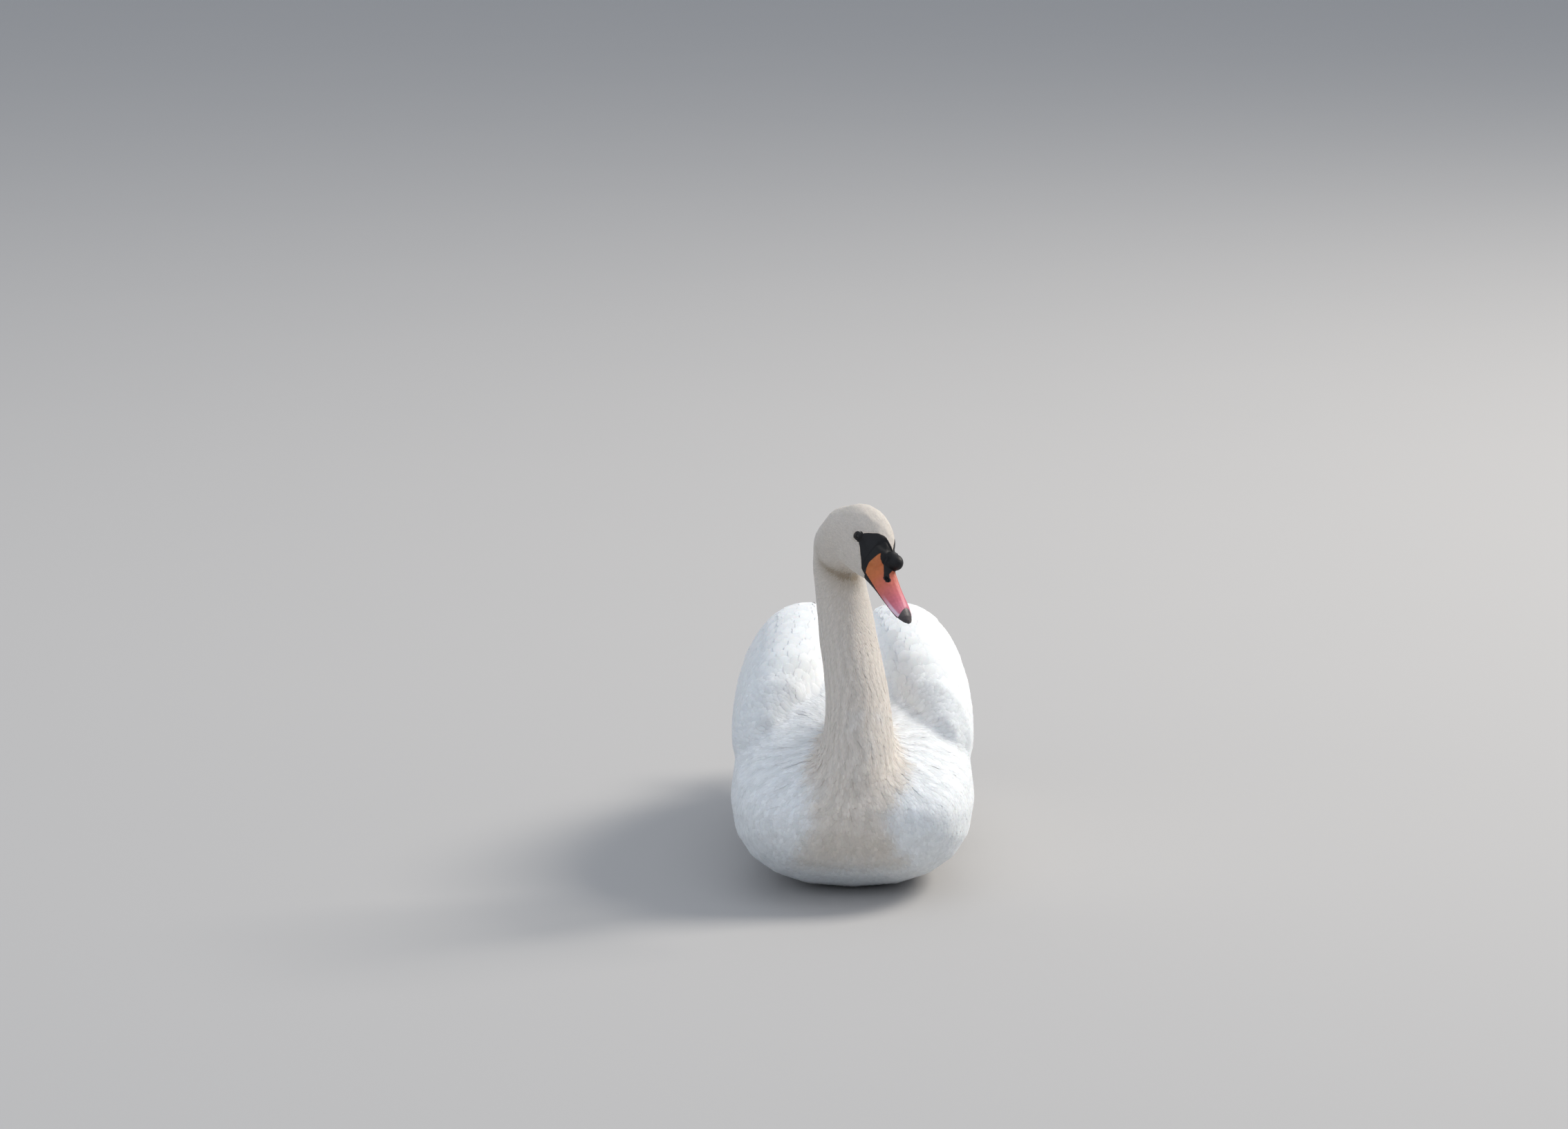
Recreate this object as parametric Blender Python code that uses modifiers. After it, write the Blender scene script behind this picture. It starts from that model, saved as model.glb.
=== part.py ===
"""A life-size mute swan, afloat in pose and set down on its belly with the feet tucked under.

The bird faces -Y, its left side is +X and +Z is up. The origin lies in the middle of the flat of
the belly. Everything is in metres; tables of sections are in millimetres, as their names say.
The body is modelled whole from three lofts, blended, and parted with thin cuts into head, two
lengths of neck and trunk. The wings, tail, bill, eyes, legs and feet are solids of their own.
"""

from math import cos, pi, radians, sin, tau

import bmesh
import bpy
import numpy as np
from mathutils import Matrix, Vector

MM = 0.001
GAP = 0.3 * MM  # clearance kept between touching pieces

# Where the bird is in its own frame
BREAST_FRONT_Y = -0.360  # foremost point of the breast
WATER_Z = 0.100  # height of the waterline above the keel

# Pose of the head: turned to the bird's left, bill down, slightly rolled
HEAD_CENTRE = Vector((0.0200, BREAST_FRONT_Y + 0.056, WATER_Z + 0.3225))  # between the eyes
HEAD_YAW = radians(34.0)
HEAD_PITCH = radians(25.0)
HEAD_ROLL = radians(-21.0)

# Trunk sections: distance behind the breast front, half width, keel height, height of the
# greatest width, height of the back
TRUNK_MM = [
    (2, 62, 90, 104, 114),
    (7, 88, 78, 104, 123),
    (16, 105, 60, 104, 136),
    (32, 120, 41, 104, 151),
    (58, 131, 22, 104, 166),
    (88, 139, 8, 103, 178),
    (122, 143, -1, 103, 196),
    (170, 145, -6, 102, 222),
    (240, 142, -6, 104, 246),
    (340, 137, -6, 109, 264),
    (440, 127, -4, 117, 260),
    (530, 109, 12, 128, 242),
    (610, 83, 42, 142, 220),
    (670, 57, 83, 155, 203),
    (715, 30, 128, 163, 191),
]
TRUNK_SQUARENESS = 2.35  # exponent of the superellipse: 2 is an ellipse

# Neck: sideways place, distance behind the breast front, height above the water, half width,
# half depth
NECK_MM = [
    (-3, 142, -30, 56, 52),
    (-4, 110, -18, 66, 66),
    (-4, 83, 2, 70, 81),
    (0, 74, 24, 57, 70),
    (5, 74, 54, 47.5, 60),
    (7, 79, 82, 43, 54),
    (7, 86, 105, 41, 50),
    (5, 97, 135, 38.5, 46.5),
    (0, 111, 167, 36, 42.5),
    (-6, 125, 198, 35.2, 39.5),
    (-10, 134, 228, 33, 36.5),
    (-15, 134, 258, 31, 35),
    (-18, 126, 286, 30.5, 35),
    (-17, 112, 307, 30.5, 35),
    (-11, 95, 319, 31, 35),
    (-1, 79, 325, 31, 34.5),
    (9, 64, 324, 26, 30),
]

# Head along its own forward axis from the eyes: half width, top, bottom
HEAD_MM = [
    (-50, 10, 4, -16),
    (-45, 19, 17, -28),
    (-36, 25.5, 25.5, -37),
    (-22, 28.5, 30.5, -42.5),
    (-8, 27.2, 31.5, -44),
    (6, 24, 29.5, -43),
    (19, 20.4, 25, -40.5),
    (31, 17.2, 18, -38),
    (41, 14.5, 10, -35.5),
    (47, 12, 2, -33),
]
HEAD_SQUARENESS = 2.15
EYE_FORWARD = 2.5 * MM
EYE_SIDE = 19.2 * MM
EYE_RADIUS = 7.4 * MM

# Bill along the head's forward axis: half width, ridge, cutting edge, bottom of the lower bill
BILL_MM = [
    (33, 15.0, 9.0, -27.0, -37.0),
    (45, 15.6, 2.0, -28.2, -36.4),
    (58, 15.4, -5.4, -30.4, -36.4),
    (71.5, 15.0, -11.8, -32.8, -37.2),
    (85, 14.6, -16.9, -34.6, -38.2),
    (97.4, 14.6, -21.1, -35.8, -39.0),
    (106, 13.8, -24.7, -36.6, -39.6),
    (112.4, 11.2, -28.3, -37.2, -39.8),
    (116.6, 7.6, -31.2, -37.6, -39.8),
    (118.8, 3.4, -33.8, -37.8, -39.6),
]
NAIL_START = 106.8 * MM
LOWER_BILL_SHARE = 0.80  # its width as a share of the upper bill's
LOWER_BILL_END = 113.0 * MM
KNOB_CENTRE = Vector((53.0 * MM, 0.0, 2.6 * MM))
KNOB_RADII = Vector((9.8 * MM, 8.4 * MM, 9.0 * MM))

# Folded, slightly arched wing: distance behind the breast front, middle and half width
# sideways, middle and half height
WING_MM = [
    (138, 106, 15, 176, 20),
    (146, 104, 27, 180, 35),
    (165, 99, 39, 184, 51),
    (200, 92, 48, 190, 71),
    (250, 85, 55, 197, 83),
    (310, 81, 59, 203, 88),
    (370, 78, 59, 205, 87),
    (430, 73, 56, 205, 78),
    (490, 66, 50, 204, 64),
    (545, 56, 42, 203, 48),
    (595, 45, 33, 201, 33),
    (640, 34, 24, 198, 20),
    (672, 27, 14, 196, 12),
    (688, 24, 6, 195, 6),
]
WING_SQUARENESS = 2.25
WING_LEAN = radians(14.0)  # the top of each section leans in towards the back
CENTRE_CLEARANCE = 3.0 * MM  # each wing stays this far from the middle plane

# Tips of the folded primaries and the tail, as flat blades: distance behind the breast front,
# middle sideways, half width, height, half thickness
PRIMARIES_MM = [
    (600, 58, 20, 176, 8),
    (640, 48, 23, 181, 8),
    (690, 35, 21, 185, 7),
    (735, 22, 15, 187, 5.5),
    (768, 13, 8.5, 188, 3.5),
    (784, 9, 4, 188, 2),
]
TAIL_MM = [
    (655, 0, 48, 160, 15),
    (700, 0, 61, 161, 11),
    (745, 0, 65, 164, 8),
    (780, 0, 56, 168, 5.5),
    (808, 0, 37, 171, 3.5),
    (826, 0, 20, 173, 2.2),
    (834, 0, 8, 173.5, 1.5),
]

# Leg laid along the floor under the flank (left side)
HEEL = Vector((0.086, 0.186, 0.0100))
TOES_ROOT = Vector((0.083, 0.078, 0.0075))
SHANK_RADIUS = 6.4 * MM
HEEL_RADIUS = 10.3 * MM
SHIN_TOP = Vector((0.072, 0.130, 0.062))
SHIN_RADIUS = 11.0 * MM
TOE_TIPS = [Vector((0.056, -0.030, 0)), Vector((0.090, -0.058, 0)), Vector((0.121, -0.034, 0))]
TOE_RADIUS = 5.2 * MM
WEB_THICKNESS = 2.6 * MM
WEB_SCALLOP = 0.12  # how far the web's edge dips between two toes, as a share of their length

# Fineness of the solids
RING_POINTS = 20
LOFT_STEPS = 16
BLEND_VOXEL = 4.2 * MM
BLEND_SMOOTHING = 6
BODY_TRIANGLES = 2500

COLOURS = {
    "feather": ((0.90, 0.90, 0.89), 0.80),
    "neck_feather": ((0.84, 0.80, 0.73), 0.80),
    "bill_orange": ((0.82, 0.25, 0.11), 0.42),
    "bill_black": ((0.025, 0.024, 0.027), 0.50),
    "eye": ((0.035, 0.020, 0.014), 0.08),
    "foot": ((0.055, 0.056, 0.058), 0.60),
}


def clear_scene():
    """Removes whatever the start-up file holds."""
    for obj in list(bpy.data.objects):
        bpy.data.objects.remove(obj, do_unlink=True)


def make_material(name):
    """A Principled material in one of the bird's colours."""
    colour, roughness = COLOURS[name]
    material = bpy.data.materials.new(name)
    material.use_nodes = True
    shader = material.node_tree.nodes["Principled BSDF"]
    shader.inputs["Base Color"].default_value = (*colour, 1.0)
    shader.inputs["Roughness"].default_value = roughness
    material.diffuse_color = (*colour, 1.0)
    return material


def add_object(name, mesh, collection):
    """Puts a mesh into a collection as a named object."""
    mesh.name = name
    obj = bpy.data.objects.new(name, mesh)
    collection.objects.link(obj)
    return obj


def smooth_rows(table, steps):
    """Rows of a section table in metres, read at even steps along a smooth curve through them."""
    rows = np.array(table, float) * MM
    spans = np.linalg.norm(np.diff(rows[:, :3], axis=0), axis=1)
    at = np.concatenate([[0], np.cumsum(spans)])
    slopes = np.gradient(rows, at, axis=0)
    places = np.linspace(0, at[-1], steps)
    k = np.clip(np.searchsorted(at, places, side="right") - 1, 0, len(at) - 2)
    span = (at[k + 1] - at[k])[:, None]
    t = (places - at[k])[:, None] / span
    return (
        (2 * t**3 - 3 * t**2 + 1) * rows[k]
        + (t**3 - 2 * t**2 + t) * span * slopes[k]
        + (3 * t**2 - 2 * t**3) * rows[k + 1]
        + (t**3 - t**2) * span * slopes[k + 1]
    )


def unit_ring(squareness, points=RING_POINTS):
    """Points (across, up) of a superellipse that fits the square from -1 to 1."""
    turns = [tau * i / points for i in range(points)]
    power = 2.0 / squareness
    return [
        (
            abs(cos(a)) ** power * (1 if cos(a) >= 0 else -1),
            abs(sin(a)) ** power * (1 if sin(a) >= 0 else -1),
        )
        for a in turns
    ]


def loft(name, rings, collection):
    """A closed mesh through rings of equally many points, with a fan over each end."""
    bm = bmesh.new()
    rows = [[bm.verts.new(p) for p in ring] for ring in rings]
    for a, b in zip(rows, rows[1:]):
        for i in range(len(a)):
            j = (i + 1) % len(a)
            bm.faces.new((a[i], a[j], b[j], b[i]))
    for row in (rows[0], rows[-1]):
        middle = bm.verts.new(sum((v.co for v in row), Vector()) / len(row))
        for i in range(len(row)):
            bm.faces.new((middle, row[i], row[(i + 1) % len(row)]))
    bmesh.ops.recalc_face_normals(bm, faces=bm.faces)
    bmesh.ops.triangulate(bm, faces=bm.faces)
    mesh = bpy.data.meshes.new(name)
    bm.to_mesh(mesh)
    bm.free()
    return add_object(name, mesh, collection)


def evaluated_mesh(obj):
    """The object's mesh with its modifiers applied."""
    graph = bpy.context.evaluated_depsgraph_get()
    return bpy.data.meshes.new_from_object(obj.evaluated_get(graph))


def apply_modifiers(obj):
    """Replaces the object's mesh with its evaluated one, and clears the modifiers."""
    mesh = evaluated_mesh(obj)
    obj.modifiers.clear()
    obj.data = mesh
    return obj


def boolean(obj, other, operation):
    """Cuts another object from obj, or joins it to it."""
    step = obj.modifiers.new(operation.lower(), "BOOLEAN")
    step.operation = operation
    step.solver = "EXACT"
    step.object = other
    return apply_modifiers(obj)


def hide_helper(obj):
    """Marks an object as a cutter or guide."""
    obj.hide_render = True
    obj.display_type = "WIRE"
    return obj


def grown_copy(obj, collection, by=GAP):
    """A cutter: the object's shape, larger by the gap all round."""
    mesh = evaluated_mesh(obj)
    bm = bmesh.new()
    bm.from_mesh(mesh)
    bmesh.ops.remove_doubles(bm, verts=bm.verts, dist=1e-5)
    bmesh.ops.triangulate(bm, faces=bm.faces)
    bm.normal_update()
    shifts = [v.normal * by for v in bm.verts]
    for vert, shift in zip(bm.verts, shifts):
        vert.co += shift
    bm.to_mesh(mesh)
    bm.free()
    return hide_helper(add_object(obj.name + "_cutter", mesh, collection))


def behind(distance):
    """The Y of a place this far behind the breast front."""
    return BREAST_FRONT_Y + distance


def trunk_rings():
    """Upright sections of the trunk, front to back."""
    ring = unit_ring(TRUNK_SQUARENESS)
    for back, half, keel, middle, top in smooth_rows(TRUNK_MM, LOFT_STEPS + 8):
        yield [
            Vector((half * u, behind(back), middle + w * (top - middle if w > 0 else middle - keel)))
            for u, w in ring
        ]


def neck_rings():
    """Sections square to the neck's curve, from inside the trunk into the head."""
    rows = smooth_rows(NECK_MM, LOFT_STEPS)
    path = [Vector((row[0], behind(row[1]), WATER_Z + row[2])) for row in rows]
    ring = unit_ring(2.0)
    for i, row in enumerate(rows):
        along = (path[min(i + 1, len(path) - 1)] - path[max(i - 1, 0)]).normalized()
        across = Vector((1, 0, 0))
        across = (across - along * across.dot(along)).normalized()
        deep = along.cross(across)
        yield [path[i] + across * (row[3] * u) + deep * (row[4] * w) for u, w in ring]


def head_matrix():
    """From the head's own axes (forward, left, up) to the bird's frame."""
    forward_flat = Vector((sin(HEAD_YAW), -cos(HEAD_YAW), 0))
    left = Vector((cos(HEAD_YAW), sin(HEAD_YAW), 0))
    forward = forward_flat * cos(HEAD_PITCH) - Vector((0, 0, sin(HEAD_PITCH)))
    up = forward.cross(left)
    rolled_left = left * cos(HEAD_ROLL) + up * sin(HEAD_ROLL)
    rolled_up = up * cos(HEAD_ROLL) - left * sin(HEAD_ROLL)
    turn = Matrix((forward, rolled_left, rolled_up)).transposed()
    return Matrix.Translation(HEAD_CENTRE) @ turn.to_4x4()


def head_rings():
    """Sections of the feathered head, nape to bill."""
    place = head_matrix()
    ring = unit_ring(HEAD_SQUARENESS)
    for forward, half, top, bottom in smooth_rows(HEAD_MM, LOFT_STEPS):
        middle = (top + bottom) / 2
        yield [
            place @ Vector((forward, half * u, middle + w * (top - bottom) / 2)) for u, w in ring
        ]


def ground_box(collection):
    """A cutter that fills everything below the floor."""
    bm = bmesh.new()
    bmesh.ops.create_cube(bm, size=1.0)
    bm.transform(Matrix.Translation((0, 0, -0.5)) @ Matrix.Diagonal((2, 2, 1, 1)))
    mesh = bpy.data.meshes.new("ground")
    bm.to_mesh(mesh)
    bm.free()
    return hide_helper(add_object("ground", mesh, collection))


def whole_body(collection):
    """Trunk, neck and head blended into one closed form."""
    shapes = [
        loft("trunk_form", trunk_rings(), collection),
        loft("neck_form", neck_rings(), collection),
        loft("head_form", head_rings(), collection),
    ]
    bm = bmesh.new()
    for shape in shapes:
        bm.from_mesh(shape.data)
        bpy.data.objects.remove(shape)
    mesh = bpy.data.meshes.new("body")
    bm.to_mesh(mesh)
    bm.free()
    body = add_object("body", mesh, collection)
    remesh = body.modifiers.new("blend", "REMESH")
    remesh.mode = "VOXEL"
    remesh.voxel_size = BLEND_VOXEL
    soften = body.modifiers.new("soften", "SMOOTH")
    soften.factor = 0.5
    soften.iterations = BLEND_SMOOTHING
    apply_modifiers(body)
    body.data.calc_loop_triangles()
    thin = body.modifiers.new("thin", "DECIMATE")
    thin.ratio = BODY_TRIANGLES / len(body.data.loop_triangles)
    thin.use_collapse_triangulate = True
    return apply_modifiers(body)


def thin_disc(name, centre, normal, radius, collection):
    """A flat cutter as thick as the gap."""
    bm = bmesh.new()
    bmesh.ops.create_cone(
        bm, cap_ends=True, segments=32, radius1=radius, radius2=radius, depth=GAP
    )
    turn = Vector(normal).to_track_quat("Z", "Y").to_matrix().to_4x4()
    bm.transform(Matrix.Translation(centre) @ turn)
    mesh = bpy.data.meshes.new(name)
    bm.to_mesh(mesh)
    bm.free()
    return hide_helper(add_object(name, mesh, collection))


def loose_parts(obj, names, collection):
    """Splits an object into its loose parts, named from the lowest middle to the highest."""
    bm = bmesh.new()
    bm.from_mesh(obj.data)
    bmesh.ops.remove_doubles(bm, verts=bm.verts, dist=1e-6)
    left = set(bm.verts)
    groups = []
    while left:
        stack, group = [left.pop()], []
        while stack:
            vert = stack.pop()
            group.append(vert)
            for edge in vert.link_edges:
                other = edge.other_vert(vert)
                if other in left:
                    left.remove(other)
                    stack.append(other)
        groups.append(group)
    groups.sort(key=lambda g: sum(v.co.z for v in g) / len(g))
    bpy.data.objects.remove(obj)
    parts = []
    for name, group in zip(names, groups, strict=True):
        number = {v: i for i, v in enumerate(group)}
        faces = {f for v in group for f in v.link_faces}
        ordered = sorted(faces, key=lambda f: f.index)
        mesh = bpy.data.meshes.new(name)
        mesh.from_pydata(
            [v.co[:] for v in group], [], [[number[v] for v in f.verts] for f in ordered]
        )
        parts.append(add_object(name, mesh, collection))
    bm.free()
    return parts


def part_body(body, collection, cutters):
    """Cuts the body into trunk, two lengths of neck and head."""
    path = [Vector((row[0], behind(row[1]), WATER_Z + row[2])) for row in smooth_rows(NECK_MM, 60)]

    def on_neck(share):
        i = round(share * (len(path) - 1))
        return path[i], (path[i + 1] - path[i - 1]).normalized()

    root = Vector((0, behind(0.094), 0.226))
    middle, middle_way = on_neck(0.60)
    crown, crown_way = on_neck(0.845)
    cuts = [
        thin_disc("neck_root_cut", root, (0, -0.50, 0.866), 0.088, cutters),
        thin_disc("neck_middle_cut", middle, middle_way, 0.060, cutters),
        thin_disc("head_cut", crown, crown_way, 0.062, cutters),
    ]
    for cut in cuts:
        boolean(body, cut, "DIFFERENCE")
    return loose_parts(body, ["trunk", "neck_lower", "neck_upper", "head"], collection)


def ellipsoid(name, centre, radii, place, collection, segments=14, rings=9):
    """A closed ellipsoid at a place in the head."""
    bm = bmesh.new()
    bmesh.ops.create_uvsphere(bm, u_segments=segments, v_segments=rings, radius=1.0)
    bm.transform(place @ Matrix.Translation(centre) @ Matrix.Diagonal((*radii, 1.0)))
    mesh = bpy.data.meshes.new(name)
    bm.to_mesh(mesh)
    bm.free()
    return add_object(name, mesh, collection)


def upper_bill_rings():
    """Sections of the upper bill: a rounded roof over flat cutting edges."""
    place = head_matrix()
    points = 12
    rows = smooth_rows(BILL_MM, 13)
    for k, (forward, half, ridge, edge, _) in enumerate(rows):
        peak = 1.25 + 0.75 * k / len(rows)  # a narrow roof at the base, a flat one at the tip
        ring = []
        for i in range(points + 1):
            side = cos(pi * i / points)
            rise = (1 - abs(side) ** peak) ** 0.62
            ring.append(place @ Vector((forward, half * side, edge + (ridge - edge) * rise)))
        for share in (-0.5, 0.0, 0.5):
            ring.append(place @ Vector((forward, half * share, edge)))
        yield ring


def lower_bill_rings():
    """Sections of the lower bill: a shallow trough under the cutting edges."""
    place = head_matrix()
    points = 8
    for forward, half, _, edge, low in smooth_rows(BILL_MM, 13):
        if forward > LOWER_BILL_END:
            continue
        half *= LOWER_BILL_SHARE
        top = edge - GAP
        ring = []
        for i in range(points + 1):
            angle = pi * i / points
            ring.append(
                place @ Vector((forward, -half * cos(angle), top - (top - low) * sin(angle) ** 0.8))
            )
        for share in (0.5, 0.0, -0.5):
            ring.append(place @ Vector((forward, half * share, top)))
        yield ring


def make_bill(head, collection, cutters):
    """Upper and lower bill, knob and nail, seated in the head."""
    place = head_matrix()
    upper = loft("bill_upper", upper_bill_rings(), collection)
    lower = loft("bill_lower", lower_bill_rings(), collection)
    knob = ellipsoid("bill_knob", KNOB_CENTRE, KNOB_RADII, place, collection)
    for piece in (upper, lower, knob):
        boolean(head, grown_copy(piece, cutters), "DIFFERENCE")
    boolean(upper, grown_copy(knob, cutters), "DIFFERENCE")
    nail_way = (place.to_3x3() @ Vector((1, 0, 0))).normalized()
    nail_at = place @ Vector((NAIL_START, 0, -26 * MM))
    boolean(upper, thin_disc("nail_cut", nail_at, nail_way, 0.03, cutters), "DIFFERENCE")
    nail, upper = loose_parts(upper, ["bill_nail", "bill_upper"], collection)
    return upper, lower, knob, nail


def make_eyes(head, collection, cutters):
    """The two eyeballs, each in a socket of the head."""
    place = head_matrix()
    eyes = []
    for name, side in (("eye_left", 1), ("eye_right", -1)):
        centre = Vector((EYE_FORWARD, side * EYE_SIDE, 0))
        eye = ellipsoid(name, centre, Vector((EYE_RADIUS,) * 3), place, collection, 14, 8)
        boolean(head, grown_copy(eye, cutters), "DIFFERENCE")
        eyes.append(eye)
    return eyes


def wing_rings(side):
    """Sections of an arched wing. The inner part of each lies in the trunk and is cut away."""
    ring = unit_ring(WING_SQUARENESS)
    for back, middle, half, height, tall in smooth_rows(WING_MM, LOFT_STEPS):
        points = []
        for u, w in ring:
            across = middle + half * u - tall * w * sin(WING_LEAN)
            up = height + tall * w
            points.append(Vector((side * max(across, CENTRE_CLEARANCE), behind(back), up)))
        yield points


def blade_rings(table, side=1):
    """Flat sections of the primaries' tips or of the tail."""
    ring = unit_ring(2.4, 14)
    for back, middle, half, height, thick in smooth_rows(table, 11):
        yield [
            Vector((side * (middle + half * u), behind(back), height + thick * w)) for u, w in ring
        ]


def make_wings(trunk_cutter, tail_cutter, collection, cutters):
    """Each wing's arched coverts and the tips of its folded primaries."""
    made = []
    for name, side in (("left", 1), ("right", -1)):
        wing = loft("wing_" + name, wing_rings(side), collection)
        boolean(wing, trunk_cutter, "DIFFERENCE")
        tips = loft("primaries_" + name, blade_rings(PRIMARIES_MM, side), collection)
        for cutter in (trunk_cutter, grown_copy(wing, cutters), tail_cutter):
            boolean(tips, cutter, "DIFFERENCE")
        made += [wing, tips]
    return made


def rod(name, start, end, radius_start, radius_end, collection, segments=10):
    """A tapered round rod between two points."""
    bm = bmesh.new()
    way = end - start
    bmesh.ops.create_cone(
        bm,
        cap_ends=True,
        segments=segments,
        radius1=radius_start,
        radius2=radius_end,
        depth=way.length,
    )
    turn = way.to_track_quat("Z", "Y").to_matrix().to_4x4()
    bm.transform(Matrix.Translation((start + end) / 2) @ turn)
    mesh = bpy.data.meshes.new(name)
    bm.to_mesh(mesh)
    bm.free()
    return add_object(name, mesh, collection)


def ball(name, centre, radius, collection):
    """A closed ball."""
    return ellipsoid(name, centre, Vector((radius,) * 3), Matrix(), collection, 10, 6)


def joined(name, pieces):
    """One solid from overlapping ones."""
    first = pieces[0]
    for piece in pieces[1:]:
        boolean(first, piece, "UNION")
        bpy.data.objects.remove(piece)
    first.name = name
    return first


def web_plate(side, collection):
    """The web of a foot: a flat plate from the toes' root to their tips, scalloped between."""
    root = Vector((TOES_ROOT.x, TOES_ROOT.y, 0))
    outline = [root + Vector((-0.008, 0.002, 0))]
    for near, far in zip(TOE_TIPS, TOE_TIPS[1:]):
        for i in range(7):
            share = i / 7
            edge = near.lerp(far, share)
            outline.append(edge.lerp(root, WEB_SCALLOP * sin(pi * share)))
    outline += [TOE_TIPS[-1], root + Vector((0.008, 0.002, 0))]
    bm = bmesh.new()
    face = bm.faces.new([bm.verts.new((side * p.x, p.y, -WEB_THICKNESS)) for p in outline])
    raised = bmesh.ops.extrude_face_region(bm, geom=[face])
    tops = [v for v in raised["geom"] if isinstance(v, bmesh.types.BMVert)]
    bmesh.ops.translate(bm, verts=tops, vec=(0, 0, 2 * WEB_THICKNESS))
    bmesh.ops.recalc_face_normals(bm, faces=bm.faces)
    mesh = bpy.data.meshes.new("web")
    bm.to_mesh(mesh)
    bm.free()
    return add_object("web", mesh, collection)


def make_leg(name, side, trunk, collection, cutters):
    """The shank lying on the floor, with its heel and the foot of a shin, and the webbed foot.
    Room is cut for them in the underside of the trunk."""

    def sided(point):
        return Vector((side * point.x, point.y, point.z))

    bones = [
        rod("shank", sided(HEEL), sided(TOES_ROOT), SHANK_RADIUS * 1.1, SHANK_RADIUS, collection),
        ball("heel", sided(HEEL), HEEL_RADIUS, collection),
        ball("toe_joint", sided(TOES_ROOT), SHANK_RADIUS * 1.15, collection),
        rod("shin", sided(HEEL), sided(SHIN_TOP), HEEL_RADIUS * 0.9, SHIN_RADIUS, collection),
    ]
    toes = [web_plate(side, collection)]
    for tip in TOE_TIPS:
        start = sided(TOES_ROOT.lerp(tip, 0.03))
        start.z = TOE_RADIUS * 0.85
        end = sided(tip)
        end.z = TOE_RADIUS * 0.5
        toes.append(rod("toe", start, end, TOE_RADIUS, TOE_RADIUS * 0.62, collection, 8))
    for piece in bones + toes:
        boolean(trunk, grown_copy(piece, cutters), "DIFFERENCE")
    leg_room = [grown_copy(bone, cutters) for bone in bones]
    leg = joined("leg_" + name, bones)
    foot = joined("foot_" + name, toes)
    for room in leg_room:
        boolean(foot, room, "DIFFERENCE")
    return leg, foot


def dress(obj, material):
    """Gives the object its material, and smooth shading with sharp edges kept."""
    obj.data.materials.clear()
    obj.data.materials.append(material)
    obj.data.shade_smooth()
    obj.data.set_sharp_from_angle(angle=radians(40))


def main():
    """Builds the swan."""
    clear_scene()
    swan = bpy.data.collections.new("mute_swan")
    cutters = bpy.data.collections.new("cutters")
    bpy.context.scene.collection.children.link(swan)
    bpy.context.scene.collection.children.link(cutters)

    body = whole_body(swan)
    body_cutter = grown_copy(body, cutters)
    tail = loft("tail", blade_rings(TAIL_MM), swan)
    boolean(tail, body_cutter, "DIFFERENCE")
    make_wings(body_cutter, grown_copy(tail, cutters), swan, cutters)
    trunk, neck_lower, neck_upper, head = part_body(body, swan, cutters)
    make_eyes(head, swan, cutters)
    make_bill(head, swan, cutters)
    limbs = [
        *make_leg("left", 1, trunk, swan, cutters),
        *make_leg("right", -1, trunk, swan, cutters),
    ]
    ground = ground_box(cutters)
    for piece in (trunk, *limbs):
        boolean(piece, ground, "DIFFERENCE")

    finishes = {
        "bill_upper": "bill_orange",
        "bill_lower": "bill_orange",
        "bill_knob": "bill_black",
        "bill_nail": "bill_black",
        "eye_left": "eye",
        "eye_right": "eye",
        "head": "neck_feather",
        "neck_upper": "neck_feather",
        "neck_lower": "neck_feather",
        "leg_left": "foot",
        "leg_right": "foot",
        "foot_left": "foot",
        "foot_right": "foot",
    }
    materials = {name: make_material(name) for name in COLOURS}
    for obj in swan.objects:
        dress(obj, materials[finishes.get(obj.name, "feather")])


main()
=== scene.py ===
"""Mute swan afloat, life size: one skin, its plumage in solid vanes, flight feathers, bill, eyes and feet."""

from __future__ import annotations

import logging
import math
from collections.abc import Sequence
from dataclasses import dataclass
from enum import Enum
from heapq import heappop, heappush

import bmesh
import bpy
import numpy as np
from bmesh.types import BMesh
from bpy.types import ID, Material, Mesh, Node, NodeSocket, Object, bpy_prop_collection
from mathutils import Matrix, Vector
from mathutils.bvhtree import BVHTree
from mathutils.kdtree import KDTree


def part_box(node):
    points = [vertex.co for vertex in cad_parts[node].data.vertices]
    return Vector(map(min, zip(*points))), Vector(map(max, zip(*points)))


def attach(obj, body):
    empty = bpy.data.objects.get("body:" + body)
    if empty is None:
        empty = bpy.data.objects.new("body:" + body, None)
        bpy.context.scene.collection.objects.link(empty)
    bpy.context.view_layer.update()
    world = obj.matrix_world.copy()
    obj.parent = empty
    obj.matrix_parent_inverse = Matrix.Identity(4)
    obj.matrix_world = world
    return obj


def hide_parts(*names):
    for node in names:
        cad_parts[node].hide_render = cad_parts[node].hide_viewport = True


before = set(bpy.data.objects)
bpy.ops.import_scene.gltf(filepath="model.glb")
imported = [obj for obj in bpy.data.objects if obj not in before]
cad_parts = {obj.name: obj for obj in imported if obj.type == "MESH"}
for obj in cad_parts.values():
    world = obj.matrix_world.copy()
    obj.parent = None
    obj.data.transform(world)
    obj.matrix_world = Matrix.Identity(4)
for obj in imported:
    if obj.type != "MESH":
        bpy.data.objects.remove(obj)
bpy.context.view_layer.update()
Array = np.ndarray
Triple = tuple[float, float, float]
LOG = logging.getLogger("swan")
MM = 0.001
# The breast's foremost point and the waterline, in the room.
FRONT_Y = -0.360
WATERLINE_Z = 0.100
# The left shin's axis in the room, from inside the flank to the heel.
SHIN = ((0.072, 0.130, 0.062), (0.086, 0.186, 0.010))
EYES = ("eye_left", "eye_right")
# The two sides of the bird, with the sign of their place across it.
SIDES = (("left", 1.0), ("right", -1.0))


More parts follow.
